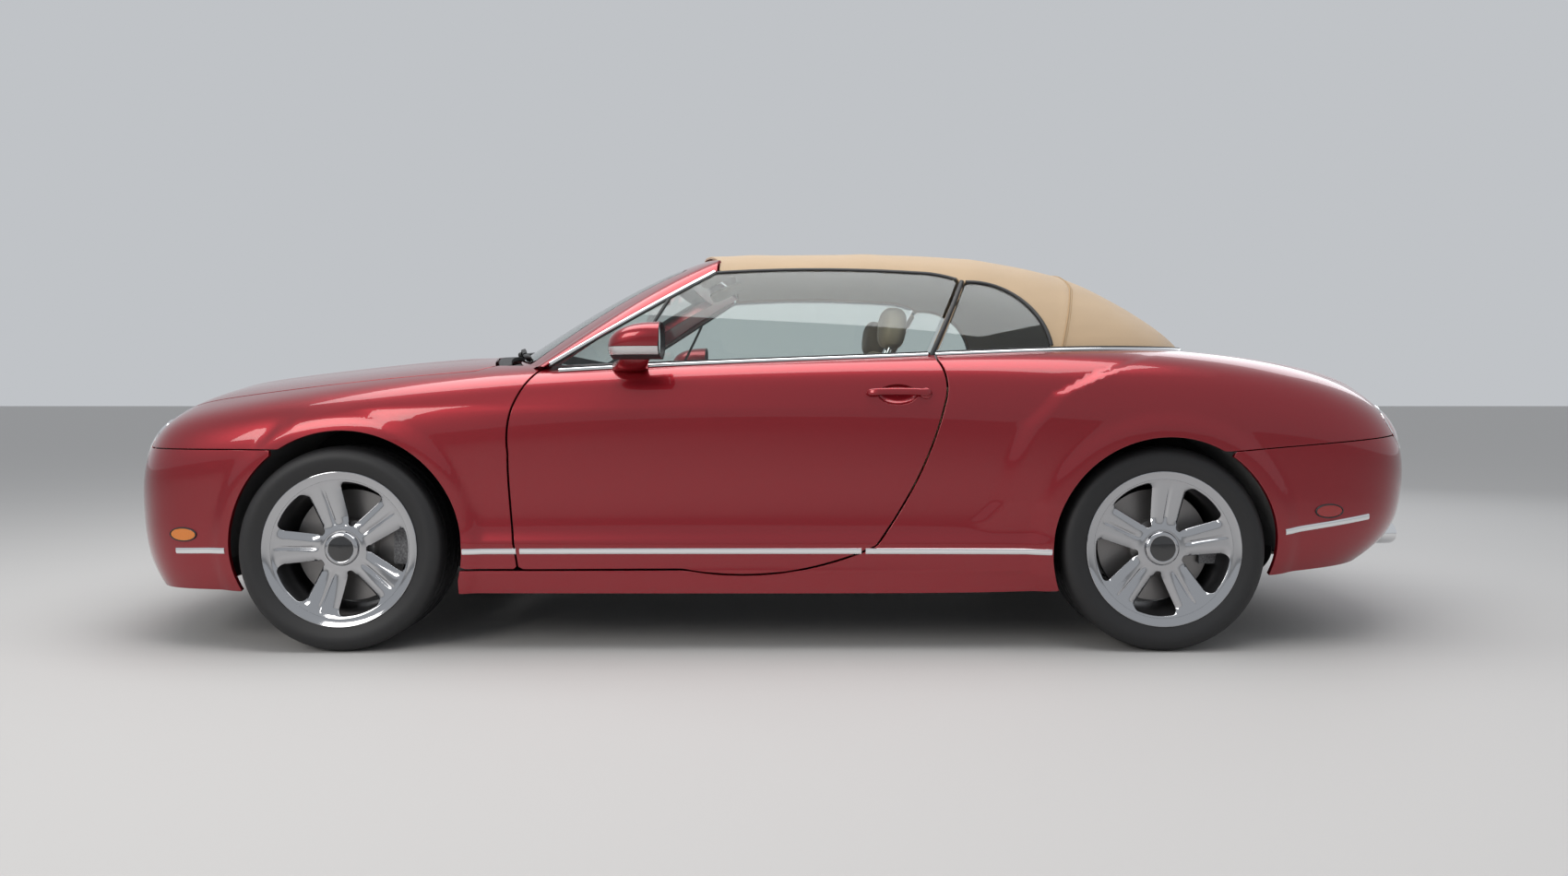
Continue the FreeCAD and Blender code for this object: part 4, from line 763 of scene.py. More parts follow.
MESH_METAL = grain(material("mesh_metal", (0.10, 0.10, 0.105), 0.32, 0.85), 700, 0.1)
PLATE_WHITE = grain(material("blank_plate", (0.72, 0.72, 0.70), 0.35, Coat_Weight=0.5), 60, 0.05)
SOOT = grain(material("soot", (0.01, 0.01, 0.01), 0.85), 80, 0.3)


def dress(obj, mat, body, *nodes, slot=None):
    obj.data.materials.clear()
    obj.data.materials.append(mat)
    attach(obj, body)
    if nodes:
        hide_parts(*nodes)
    return obj


# body panels
BODY_OF = {"door": "door_{}_body", "front_wing": "body", "rear_quarter": "body"}
for name in ("front_wing", "rear_quarter", "door"):
    for hand, mirror in HANDS:
        piece = panel(skin, REGIONS[name], f"{name}_{hand}_panel", 16, mirror=mirror)
        dress(piece, PAINT, BODY_OF[name].format(hand), f"{name}_{hand}", slot="paint")
for name, body in (("bonnet", "bonnet_body"), ("boot_lid", "boot_lid_body"), ("rear_deck", "body"),
                   ("front_bumper", "body"), ("rear_bumper", "body"), ("scuttle", "body")):
    piece = panel(skin, REGIONS[name], f"{name}_panel", 18, both=True)
    dress(piece, BLACK if name == "scuttle" else PAINT, body, name, slot="paint")


# sections and junctions of the two main surfaces
def resample(points, spacing):
    """Points of a polyline about that far apart."""
    points = np.asarray(points, float)
    run = np.concatenate([[0.0], np.cumsum(np.linalg.norm(np.diff(points, axis=0), axis=1))])
    count = max(int(round(run[-1] / spacing)), 2)
    t = np.linspace(0, run[-1], count + 1)
    return np.stack([np.interp(t, run, points[:, k]) for k in range(points.shape[1])], axis=1)


def roof_foot(us):
    """Points where the roof and side glass leave the body, with the normals of roof and body there."""
    us = np.asarray(us, float)
    low, high = np.zeros(len(us)), np.full(len(us), 2.2)
    for _ in range(16):
        mid = (low + high) / 2
        p = roof_surface.base(us, mid)
        a, b = locate(skin, [0, 1], p[:, :2])
        below = p[:, 2] < skin.point(a, b)[:, 2]
        low, high = np.where(below, mid, low), np.where(below, high, mid)
    p, n = roof_surface.point(us, low), roof_surface.normal(us, low)
    a, b = locate(skin, [0, 1], p[:, :2])
    p[:, 2] = skin.point(a, b)[:, 2]
    return p, n, skin.normal(a, b)


def at_x(surface, x, vs):
    """Points and normals of a surface on a line whose x is given for each v."""
    x = np.broadcast_to(np.asarray(x, float), np.shape(vs)).copy()
    low, high = np.zeros(len(vs)), np.full(len(vs), surface.ends[0])
    for _ in range(26):
        mid = (low + high) / 2
        ahead = surface.base(mid, vs)[:, 0] > x
        low, high = np.where(ahead, mid, low), np.where(ahead, high, mid)
    return surface.point(low, vs), surface.normal(low, vs)


# windscreen, side glass and roof
def weave(mat, scale, strength=0.35):
    """Twill threads, mottling and a soft nap on a fabric."""
    nodes, links = mat.node_tree.nodes, mat.node_tree.links
    place = nodes.new("ShaderNodeTexCoord")
    bump = nodes.new("ShaderNodeBump")
    bump.inputs["Strength"].default_value = strength
    bump.inputs["Distance"].default_value = 0.0012
    total = None
    for direction, turn in (("X", 45.0), ("X", -45.0)):
        mapping = nodes.new("ShaderNodeMapping")
        mapping.inputs["Rotation"].default_value = (math.radians(turn), math.radians(turn),
                                                    math.radians(turn))
        wave = nodes.new("ShaderNodeTexWave")
        wave.bands_direction = direction
        wave.inputs["Scale"].default_value = 180.0 * scale
        wave.inputs["Distortion"].default_value = 0.6
        links.new(place.outputs["Object"], mapping.inputs["Vector"])
        links.new(mapping.outputs["Vector"], wave.inputs["Vector"])
        if total is None:
            total = wave.outputs["Fac"]
        else:
            add = nodes.new("ShaderNodeMath")
            add.operation = "ADD"
            links.new(total, add.inputs[0])
            links.new(wave.outputs["Fac"], add.inputs[1])
            total = add.outputs["Value"]
    links.new(total, bump.inputs["Height"])
    shader = principled(mat)
    links.new(bump.outputs["Normal"], shader.inputs["Normal"])
    noise = nodes.new("ShaderNodeTexNoise")
    noise.inputs["Scale"].default_value = 9.0
    noise.inputs["Detail"].default_value = 6.0
    ramp = nodes.new("ShaderNodeMix")
    ramp.data_type = "RGBA"
    base = list(shader.inputs["Base Color"].default_value)
    ramp.inputs["A"].default_value = [c * 0.90 for c in base[:3]] + [1]
    ramp.inputs["B"].default_value = [min(c * 1.08, 1) for c in base[:3]] + [1]
    links.new(noise.outputs["Fac"], ramp.inputs["Factor"])
    links.new(ramp.outputs["Result"], shader.inputs["Base Color"])
    return mat


CANVAS = weave(material("canvas", (0.43, 0.305, 0.185), 0.85, Sheen_Weight=0.3, Sheen_Roughness=0.5), 1.0)

screen_opening = front(SCREEN_LINE)
door_glass_region = side(DOOR_GLASS_LINE)
quarter_glass_region = side(QUARTER_GLASS_LINE)
rear_window_region = keep(front(REAR_GLASS_LINE), slab(0, -1700, -1000))

glass = panel(screen_surface, screen_opening, "windscreen_pane", 22, depth=5, radius=0.8, both=True)
dress(glass, TINTED_GLASS, "body", "windscreen", slot="glass")
frit = panel(Surface(screen_cage(), offset=-5.6), keep(screen_opening,
                                                       without(lambda p: screen_opening(p) + 34.0)),
             "windscreen_frit", 22, depth=0.8, radius=0.3, both=True)
dress(frit, PIPING, "body", slot="dark")
frame_panel = panel(screen_surface, keep(without(screen_opening, 1.0),
                                         without(keep(door_region, slab(2, 0, BELT_JOINT_Z)), SHUT_GAP),
                                         without(door_glass_region, SHUT_GAP), slab(2, 930, 1500)),
                    "windscreen_surround", 16, depth=40, radius=4, both=True)
dress(frame_panel, PAINT, "body", "windscreen_frame", slot="paint")

ROOF_REGION = keep(plan(ROOF_PLAN_LINE), without(door_glass_region, 9.0),
                   without(quarter_glass_region, 3.0), without(door_region, SHUT_GAP),
                   without(rear_window_region, -1.0))


def drawn(p):
    """The fabric lies over the bows of the roof and sinks between them, and its rear seam stands up."""
    x, y, z = p[:, 0], np.abs(p[:, 1]), p[:, 2]
    inner = np.clip((720.0 - y) / 160.0, 0, 1)
    lift = np.zeros(len(p))
    for bow in (90.0, -330.0, -740.0):
        lift += 3.0 * inner * np.exp(-((x - bow) / 60.0) ** 2)
    lift += 2.2 * np.exp(-((x + 1063.0 - (1304.0 - z) * 0.288 * (z < 1304)) / 16.0) ** 2)
    wave = np.sin(x / 34.0 + y / 55.0) * np.exp(-((x + 1250.0) / 200.0) ** 2)
    wave *= np.clip((z - 1040) / 60.0, 0, 1)
    return lift + 0.9 * wave


roof_skin = Surface(roof_cage(), drawn)
roof = panel(roof_skin, ROOF_REGION, "roof_fabric", 16, depth=9, radius=4, both=True)
dress(roof, CANVAS, "body", "soft_top", slot="fabric")
rear_pane = panel(roof_surface, keep(rear_window_region), "rear_window_pane", 14, depth=5, radius=0.8,
                  both=True)
dress(rear_pane, TINTED_GLASS, "body", "rear_glass", slot="glass")
for hand, mirror in HANDS:
    pane = panel(roof_surface, keep(door_glass_region, slab(2, 915, 1500)), f"door_window_{hand}", 24,
                 depth=4.5, radius=0.8, mirror=mirror)
    dress(pane, TINTED_GLASS, f"door_{hand}_body", f"door_glass_{hand}", slot="glass")
    pane = panel(roof_surface, keep(quarter_glass_region), f"quarter_window_{hand}", 20, depth=4.5,
                 radius=0.8, mirror=mirror)
    dress(pane, TINTED_GLASS, "body", slot="glass")
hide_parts("quarter_glasses")

# rear seam and stitches over the roof
vs = np.linspace(0.15, roof_surface.ends[1], 90)
seam_base = roof_surface.base(np.full(90, 1.9), vs)
for shift, width, mat, name in ((0.0, 3.0, THREAD, "roof_seam_cord"),
                                (-9.0, 1.2, THREAD, "roof_seam_stitch")):
    zs = seam_base[:, 2]
    x_line = np.where(zs < 1304, -1063.0 + (1304.0 - zs) * 0.288, -1063.0) + shift
    points, ups = at_x(roof_skin, x_line, vs)
    half = sweep(name, points + ups * 0.4, ups, round_profile(width * 2, width * 0.8, 7))
    other = sweep(name + "_b", points + ups * 0.4, ups, round_profile(width * 2, width * 0.8, 7),
                  mirror=True)
    dress(join(name, [half, other]), mat, "body", slot="fabric")


def surface_strip(name, surface, line, lift, profile, mat, body, slot_name, spacing):
    """A trim strip along a side-view line on a surface, on both sides of the car."""
    points, ups = line_on(surface, [0, 2], resample(line, spacing), lift)
    for hand, mirror in HANDS:
        piece = sweep(f"{name}_{hand}", points, ups, profile, mirror=mirror)
        dress(piece, mat, body if body == "body" else f"{body}_{hand}_body", slot=slot_name)


roof_edge = path((215, 1288), ((-130, 1300), (-500, 1288)), ((-570, 1281), (-641, 1262)), (-640, 1261))[:-1]
quarter_edge = path((-672, 1254), ((-850, 1197), (-944, 1024)), (-944, 1023))[:-1]
for name, line, lift, size, mat, body, slot_name, spacing in (
        ("pillar_bright", [(770, 962), (222, 1297)], 1.0, (13, 6, 7), CHROME, "body", "chrome", 30),
        ("pillar_seal", [(772, 954), (216, 1291)], -1.0, (9, 5, 7), SEAL, "body", "dark", 30),
        ("roof_seal", roof_edge + [0, 5], 0.0, (13, 6, 7), SEAL, "body", "dark", 14),
        ("quarter_seal", quarter_edge + [-2, 3], 0.0, (14, 7, 7), SEAL, "body", "dark", 14),
        ("window_divider", [(-659, 1259), (-529, 990)], 0.5, (17, 8, 9), SEAL, "body", "dark", 30),
        ("front_divider", [(377, 1190), (500, 962)], 0.8, (12, 6, 7), SEAL, "door", "dark", 30)):
    surface_strip(name, roof_surface, line, lift, round_profile(*size), mat, body, slot_name, spacing)

# belt moulding: a bright bead with a rubber lip where the glass and the fabric leave the body
foot_us = np.concatenate([np.linspace(0.0, 2.0, 70), np.linspace(2.03, roof_surface.ends[0], 80)])
foot, foot_n, body_n = roof_foot(foot_us)
foot_out = foot_n * [1, 1, 0]
foot_out /= np.linalg.norm(foot_out, axis=1)[:, None]
door_part = (foot[:, 0] < 764) & (foot[:, 0] > -522)
rear_part = foot[:, 0] < -534
for name, part, body in (("door_belt", door_part, "door"), ("rear_belt", rear_part, "body")):
    for kind, out, profile, mat, slot_name in (("bright", 8.0, round_profile(13, 8, 8), CHROME, "chrome"),
                                               ("lip", 1.0, round_profile(9, 13, 8), SEAL, "dark")):
        points = foot[part] + foot_out[part] * out - body_n[part] * 1.5
        pieces = [sweep(f"{name}_{kind}_{hand}", points, body_n[part], profile, mirror=mirror)
                  for hand, mirror in HANDS]
        if body == "body":
            dress(join(f"{name}_{kind}", pieces), mat, "body", slot=slot_name)
        else:
            for hand, piece in zip(("left", "right"), pieces):
                dress(piece, mat, f"door_{hand}_body", slot=slot_name)


# closed forms from rows of points
def grid(name, rows, close_u=False, close_v=False, caps=False, mirror=False, angle=38.0):
    """A surface through rows of points. Caps close the first and last row."""
    rows = np.asarray(rows, float)
    m, n = rows.shape[:2]
    vertices = rows.reshape(-1, 3)
    faces = []
    for i in range(m if close_u else m - 1):
        for j in range(n if close_v else n - 1):
            a, b = (i + 1) % m, (j + 1) % n
            faces.append([i * n + j, a * n + j, a * n + b, i * n + b])
    if caps:
        faces.append(list(range(n))[::-1])
        faces.append([(m - 1) * n + j for j in range(n)])
    if mirror:
        vertices = vertices * FLIP
        faces = [f[::-1] for f in faces]
    return fix_normals(make_object(name, vertices, faces), angle, weld=1e-6)


def power(t, n):
    """The signed power that squares off a cosine or sine."""
    return np.sign(t) * np.abs(t) ** (2.0 / n)


def pair(make, mat, body, slot_name, *nodes):
    """Makes a left and a right piece with make(name suffix, mirror) and dresses both."""
    for hand, mirror in HANDS:
        piece = make(hand, mirror)
        dress(piece, mat, body.format(hand), *[n.format(hand) for n in nodes], slot=slot_name)


def rounded_box(name, centre, half, mat, body, slot_name, power_n, steps, turn=0.0, mirror=False, rows=14):
    """A soft-edged block from squared-off rings along its Z axis."""
    rings = []
    w = turns(4 * steps)
    for a in np.linspace(-math.pi / 2, math.pi / 2, rows):
        k, z = power(np.cos(a), power_n), power(np.sin(a), power_n)
        k = max(float(k), 0.001)
        rings.append(np.stack([half[0] * k * power(np.cos(w), power_n),
                               half[1] * k * power(np.sin(w), power_n),
                               np.full(len(w), half[2] * float(z))], axis=1))
    x, y, z = np.moveaxis(np.array(rings), -1, 0)
    c, t = math.cos(turn), math.sin(turn)
    block = np.stack([x * c + z * t, y, z * c - x * t], axis=-1) + np.array(centre, float)
    return dress(grid(name, block, close_v=True, mirror=mirror), mat, body, slot=slot_name)


# pillar sides between the windscreen and the side glass
side_v = np.linspace(0.0, screen_surface.ends[1], 40)
edge_x = np.interp(np.linspace(0, 1, 40), [0, 1], [792.0, 214.0])
pillar_line = np.stack([edge_x, np.interp(edge_x, [214, 792], [1301.0, 952.0])], axis=1)
pillar_foot, pillar_n = line_on(roof_surface, [0, 2], pillar_line, 1.5)
pillar_top = screen_surface.point(np.full(40, screen_surface.ends[0] - 0.02), side_v)
pillar_rows = []
for w in np.linspace(0, 1, 9):
    middle = pillar_top * 0.5 + pillar_foot * 0.5
    middle = middle + np.stack([np.zeros(40), np.full(40, 16.0), np.full(40, 12.0)], axis=1)
    pillar_rows.append((1 - w) ** 2 * pillar_top + 2 * w * (1 - w) * middle + w ** 2 * pillar_foot)
pillar_rows.append(pillar_foot - pillar_n * 14.0)
pair(lambda hand, mirror: grid(f"pillar_side_{hand}", pillar_rows, mirror=mirror), PAINT, "body", "paint")


# mirrors
MIRROR_AT = (372.0, 1010.0, 1034.0)
MIRROR_HALF_WIDTH, MIRROR_HALF_HEIGHT, MIRROR_DEPTH = 92.0, 61.0, 172.0


def mirror_rows(low, high, count, ribs=0):
    x0, y0, z0 = MIRROR_AT
    rows = []
    for z in np.linspace(low, high, count):
        share = np.clip(abs(z - z0) / MIRROR_HALF_HEIGHT, 0.0, 0.999)
        lean = (z - z0) / MIRROR_HALF_HEIGHT
        width = MIRROR_HALF_WIDTH * (1 - share ** 2.7) ** (1 / 2.7)
        depth = MIRROR_DEPTH * (1 - min(abs((z - z0 + 22.0) / (MIRROR_HALF_HEIGHT + 22.0)),
                                        0.999) ** 2.3) ** (1 / 2.3)
        w = np.linspace(0.0, math.pi, 49)
        y = y0 + 6.0 * lean + width * power(np.cos(w), 2.7)
        x = x0 + depth * power(np.sin(w), 2.5) ** 0.98
        if ribs:
            x = x + 1.2 * np.cos(w * ribs) * np.sin(w)
        rows.append(np.stack([x, y, np.full(49, z)], axis=1))
    return rows


pair(lambda hand, mirror: grid(f"mirror_shell_{hand}", mirror_rows(1014.0, MIRROR_AT[2] + 60.9, 22),
                               mirror=mirror), PAINT, "door_{}_body", "paint", "mirror_{}")
pair(lambda hand, mirror: grid(f"mirror_lens_{hand}", mirror_rows(987.0, 1012.6, 8, 40), mirror=mirror),
     RIBBED, "door_{}_body", "lamp")
pair(lambda hand, mirror: grid(f"mirror_base_{hand}", mirror_rows(MIRROR_AT[2] - 60.9, 985.5, 8),
                               mirror=mirror), PIPING, "door_{}_body", "dark")
face_w = turns(72)
glass_rows = [[(MIRROR_AT[0] + back, MIRROR_AT[1] + k * (MIRROR_HALF_WIDTH - 5) * power(np.cos(a), 2.7),
                MIRROR_AT[2] + k * (MIRROR_HALF_HEIGHT - 5) * power(np.sin(a), 2.7)) for a in face_w]
              for k, back in ((1.06, 2.0), (1.03, -2.0), (0.97, 1.0), (0.96, 6.0), (0.5, 6.4), (0.001, 6.5))]
pair(lambda hand, mirror: grid(f"mirror_rim_{hand}", glass_rows[:4], close_v=True, mirror=mirror), PIPING,
     "door_{}_body", "dark")
pair(lambda hand, mirror: grid(f"mirror_glass_{hand}", glass_rows[3:], close_v=True, mirror=mirror), SILVER,
     "door_{}_body", "chrome")
arm_line = spread([(500, 838, 944), (492, 880, 952), (478, 925, 962), (462, 965, 984), (458, 985, 1004)],
                  22)
arm_rows = []
for k, p in enumerate(arm_line):
    t = k / 21
    half_x, half_z = 66 - 26 * t, 20 - 3 * t + 16 * (1 - t) ** 6
    w = turns(28)
    arm_rows.append([(p[0] + half_x * power(np.cos(a), 2.4), p[1] + half_z * 0.55 * np.sin(a) * t,
                      p[2] + half_z * power(np.sin(a), 2.4)) for a in w])
pair(lambda hand, mirror: grid(f"mirror_arm_{hand}", arm_rows, close_v=True, caps=True, mirror=mirror),
     PAINT, "door_{}_body", "paint")

# door handles
handle_x = np.linspace(-300.0, -518.0, 40)
t = (handle_x + 409.0) / 109.0
handle_line = np.stack([handle_x, 862.0 + 3.0 * (1 - t ** 2)], axis=1)
handle_points, handle_n = line_on(skin, [0, 2], handle_line)
handle_points = handle_points + handle_n * (4.0 + 20.0 * (1 - t ** 6))[:, None]
handle_profile = [(11 * power(np.cos(a), 3.2), 6.5 * power(np.sin(a), 3.2)) for a in turns(24)]
pair(lambda hand, mirror: sweep(f"handle_bar_{hand}", handle_points, handle_n, handle_profile,
                                mirror=mirror, taper=18), PAINT, "door_{}_body", "paint",
     "door_handle_{}")
cup_rows = []
for size, deep in ((1.07, 4.0), (1.0, 5.0), (0.97, 9.0), (0.88, 15.0), (0.7, 20.0), (0.45, 22.5),
                   (0.2, 23.5), (0.02, 24.0)):
    turn = turns(48)
    ring = np.stack([CUP_X + CUP_HALF_X * size * np.cos(turn), CUP_Z + CUP_HALF_Z * size * np.sin(turn)],
                    axis=1)
    cup_rows.append(line_on(skin, [0, 2], ring)[0] - line_on(skin, [0, 2], ring)[1] * deep)
pair(lambda hand, mirror: grid(f"handle_cup_{hand}", cup_rows, close_v=True, mirror=mirror, angle=50),
     PAINT, "door_{}_body", "paint")
lock_p, lock_n = line_on(skin, [0, 2], [(-498.0, 861.0)] * 2)
turn = turns(24)
for part, half_x, half_z, out, mat, slot_name in (("lock_base", 20.0, 19.0, 9.0, PAINT, "paint"),
                                                  ("lock_barrel", 8.5, 8.5, 12.0, CHROME, "chrome")):
    lock_rows = []
    for size, height in ((1.0, -3.0), (1.0, out - 4.0), (0.9, out - 1.0), (0.7, out), (0.02, out + 0.6)):
        offset = np.stack([half_x * size * np.cos(turn), np.zeros(24), half_z * size * np.sin(turn)],
                          axis=1)
        lock_rows.append(lock_p[0] + offset + lock_n[0] * height)
    pair(lambda hand, mirror: grid(f"handle_{part}_{hand}", lock_rows, close_v=True, mirror=mirror,
                                   angle=50), mat, "door_{}_body", slot_name)


# lamps
def ring_on(surface, y, z, half_y, half_z, steps):
    """Points and normals of a surface round an oval seen from the front or the back."""
    w = turns(steps)
    targets = np.stack([y + half_y * np.cos(w), z + half_z * np.sin(w)], axis=1)
    return surface_part(surface, targets)


def surface_part(surface, targets):
    """The points of the nose or the tail at given y and z."""
    u, v = locate(surface, [1, 2], targets)
    return surface.point(u, v), surface.normal(u, v)


class EndOf(Surface):
    """One end of the body alone, so that a front view meets it only once."""

    def __init__(self, cage, nose, offset=0.0):
        super().__init__(cage[:9] if nose else cage[-9:], None, offset)


nose_skin, tail_skin = EndOf(body_cage(), True), EndOf(body_cage(), False)


def lamp(name, end, y, z, half_y, half_z, lens, mirror, inner, bowl_depth=46.0):
    """A lamp behind an oval hole: bright bezel, lens, reflector bowl and what stands in it."""
    direction = 1.0 if end is nose_skin else -1.0
    rim, rim_n = ring_on(end, y, z, half_y, half_z, 72)
    edge, edge_n = ring_on(end, y, z, half_y - 7, half_z - 7, 72)
    ring_rows = [rim - rim_n * 3, rim + rim_n * 2.2, (rim + edge) / 2 + edge_n * 4.2, edge + edge_n * 2.4,
                 edge - edge_n * 5]
    dress(grid(f"{name}_bezel", ring_rows, close_v=True, mirror=mirror), CHROME, "body", slot="chrome")
    back = (edge[:, 0] * direction).min() * direction - direction * 12.0
    w = turns(72)
    rings = [edge - edge_n * 5]
    for depth, share in ((0.0, 0.98), (0.25, 0.93), (0.6, 0.80), (0.85, 0.62), (1.0, 0.36), (1.02, 0.001)):
        rings.append(np.stack([np.full(72, back - direction * depth * bowl_depth),
                               y + (half_y - 7) * share * np.cos(w), z + (half_z - 7) * share
                               * np.sin(w)], axis=1))
    dress(grid(f"{name}_bowl", rings, close_v=True, mirror=mirror), REFLECTOR, "body", slot="chrome")
    cover = [edge + edge_n * 1.0]
    for share in (0.8, 0.6, 0.4, 0.2, 0.001):
        p, n = ring_on(end, y, z, (half_y - 7) * share, (half_z - 7) * share, 72)
        cover.append(p + n * (1.0 + 5.0 * (1 - share ** 2)))
    cover_back = [c - np.array([direction * 3.0, 0, 0]) for c in cover[::-1]]
    dress(grid(f"{name}_lens", cover + cover_back, close_v=True, mirror=mirror), lens, "body", slot="lamp")
    for k, (radius, depth, mat) in enumerate(inner):
        ball = []
        for a in np.linspace(0.0, math.pi / 2, 12):
            ball.append(np.stack([np.full(72, back - direction
                                          * (bowl_depth - depth - radius * 0.45 * math.sin(a))),
                                  y + radius * np.cos(a) * np.cos(w) + 0.001 * np.cos(w),
                                  z + radius * np.cos(a) * np.sin(w) + 0.001 * np.sin(w)], axis=1))
        ball.insert(0, ball[0] - [direction * (depth + 8.0), 0, 0])
        dress(grid(f"{name}_inner_{k}", ball, close_v=True, mirror=mirror), mat, "body", slot="lamp")


for hand, mirror in HANDS:
    for k, (y, z, r) in enumerate(HEADLAMPS):
        lamp(f"headlamp_{k}_{hand}", nose_skin, y, z, r, r, LENS, mirror,
             [(r * 0.50, 22.0, CHROME), (r * 0.42, 27.0, DARK_GLASS)])
    lamp(f"tail_lamp_{hand}", tail_skin, *TAIL_LAMP, RED_LENS, mirror,
         [(52.0, 10.0, REFLECTOR), (30.0, 18.0, RED_LENS)], 30.0)
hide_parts("headlamps")
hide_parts("tail_lamps")

# bright strips along the sills and bumpers, and the marker lamps
STRIP_Z = 338.0
STRIP_PROFILE = round_profile(21, 5, 8)
for name, line, body in (("sill_strip", [(852, STRIP_Z), (-284, STRIP_Z)], "door"),
                         ("wing_strip", [(1041, STRIP_Z), (864, STRIP_Z)], "body"),
                         ("quarter_strip", [(-298, STRIP_Z), (-914, STRIP_Z)], "body"),
                         ("front_bumper_strip", [(2026, 331), (1842, 337)], "body"),
                         ("rear_bumper_strip", [(-1694, 402), (-2008, 445)], "body")):
    surface_strip(name, skin, line, 0.0, STRIP_PROFILE, CHROME, body, "chrome", spacing=20)
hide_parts("body_strips")
for hand in ("left", "right"):
    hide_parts(f"door_strip_{hand}")
for name, x, z, mat in (("front_marker", 1998.0, 387.0, AMBER_LENS),
                        ("rear_marker", -1853.0, 468.0, RED_LENS)):
    region = side(oval_path(x, z, 48.0, 21.0))
    for hand, mirror in HANDS:
        lens = panel(Surface(body_cage(), creases, 4.0), region, f"{name}_{hand}", 7, depth=5, radius=2.5,
                     mirror=mirror)
        dress(lens, mat, "body", slot="marker")
        w = turns(48)
        ring, ring_n = line_on(skin, [0, 2], np.stack([x + 49 * np.cos(w), z + 22 * np.sin(w)], axis=1))
        bezel = sweep(f"{name}_bezel_{hand}", ring, ring_n, round_profile(5, 5, 6), closed=True,
                      mirror=mirror)
        dress(bezel, PIPING, "body", slot="dark")
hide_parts("marker_lamps")


# grille: a bright frame and centre bar, wire lattice, and the radiator behind it
def half_ring(line, count):
    """The left half of a front-view outline, as even points from its top centre to its bottom centre."""
    points = resample(np.vstack([line, line[:1]]), 4.0)
    half = points[points[:, 0] >= -1e-6]
    middle = (half[:, 1].max() + half[:, 1].min()) / 2
    run = half[np.argsort(np.arctan2(half[:, 0], half[:, 1] - middle))]
    run[0, 0] = run[-1, 0] = 0.0
    return resample(run, np.linalg.norm(np.diff(run, axis=0), axis=1).sum() / count)


def front_ring(name, line, profile, mat, slot_name):
    """A trim ring round an opening in the nose, from its left half."""
    points, ups = surface_part(nose_skin, half_ring(line, 70))
    halves = [sweep(f"{name}_{m}", points, ups, profile, mirror=m == 1) for m in (0, 1)]
    return dress(join(name, halves), mat, "body", slot=slot_name)


front_ring("grille_frame", GRILLE_LINE, [(13, -6), (13, 2), (9, 8), (0, 11), (-9, 8), (-13, 2),
                                         (-13, -6)], CHROME, "chrome")
front_ring("grille_inner", GRILLE_LINE, [(-9, -30), (-9, -6), (-14, -6), (-14, -30)], PIPING, "dark")
front_ring("middle_intake_rim", MIDDLE_INTAKE_LINE, [(5, -24), (5, -1), (0, 3), (-5, -1), (-5, -24)],
           PIPING, "dark")


def lattice(name, region, box_yz, depth, mat):
    """Crossed diagonal wires at a depth behind the nose, inside a front-view region, on both sides."""
    pitch, width, thick = 27.0, 3.0, 4.0
    low_y, high_y, low_z, high_z = box_yz
    surface = EndOf(body_cage(), True, -depth)
    runs = []
    for slope in (1.0, -1.0):
        reach = (high_y - low_y) + (high_z - low_z)
        for c in np.arange(-reach, reach, pitch * math.sqrt(2)):
            ys = np.arange(low_y, high_y + 0.1, 11.0)
            zs = (low_z + high_z) / 2 + c + slope * (ys - low_y)
            q = np.stack([np.zeros(len(ys)), ys, zs], axis=1)
            inside = region(q) < 4.0
            edges = np.flatnonzero(np.diff(np.concatenate([[0], inside.astype(int), [0]])))
            runs += [q[a:b, 1:] for a, b in zip(edges[::2], edges[1::2]) if b - a > 1]
    joined = np.concatenate(runs)
    u, v = locate(surface, [1, 2], joined)
    points, normals = surface.point(u, v), surface.normal(u, v)
    pieces, start = [], 0
    profile = [(width / 2, 0), (width / 2, -thick), (-width / 2, -thick), (-width / 2, 0), (0, 1.2)]
    for run in runs:
        end = start + len(run)
        for mirror in (False, True):
            pieces.append(sweep(f"{name}_{start}", points[start:end], normals[start:end], profile,
                                mirror=mirror))
        start = end
    return dress(join(name, pieces), mat, "body", slot="dark")


grille_wires = lattice("grille_wires", front(GRILLE_LINE), (8.0, 345.0, 495.0, 800.0), 30.0, CHROME)
lattice("middle_intake_wires", front(MIDDLE_INTAKE_LINE), (0.0, 375.0, 254.0, 404.0), 34.0, MESH_METAL)
lattice("outer_intake_wires", front(OUTER_INTAKE_LINE), (425.0, 752.0, 262.0, 408.0), 34.0, MESH_METAL)
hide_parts("grille_mesh")
bar_z = np.linspace(498.0, 796.0, 30)
bar_points, bar_n = surface_part(nose_skin, np.stack([np.full(30, 0.001), bar_z], axis=1))
bar_n = bar_n * [1, 0, 1] / np.linalg.norm(bar_n[:, [0, 2]], axis=1)[:, None]
bar_points[:, 1] = 0.0
bar = sweep("grille_centre_bar", bar_points - bar_n * 14, bar_n,
            [(9, -14), (9, 4), (5, 12), (0, 14), (-5, 12), (-9, 4), (-9, -14)])
dress(bar, CHROME, "body", slot="chrome")
RADIATOR = material("radiator", (0.014, 0.014, 0.015), 0.6, 0.3)
fins = node(RADIATOR, "ShaderNodeTexWave", [("Vector", node(RADIATOR, "ShaderNodeTexCoord"), "Object")],
            Scale=60.0)
fin_bump = node(RADIATOR, "ShaderNodeBump", [("Height", fins, "Fac")], Strength=0.8, Distance=0.004)
RADIATOR.node_tree.links.new(fin_bump.outputs["Normal"], principled(RADIATOR).inputs["Normal"])
behind_nose = Surface(body_cage(), None, -88.0)
core = path((-420, 240), (-420, 790), (420, 790), (420, 240))
radiator = panel(behind_nose, keep(front(core), front_end), "radiator", 26, depth=16, radius=3, both=True)
dress(radiator, RADIATOR, "body", slot="dark")
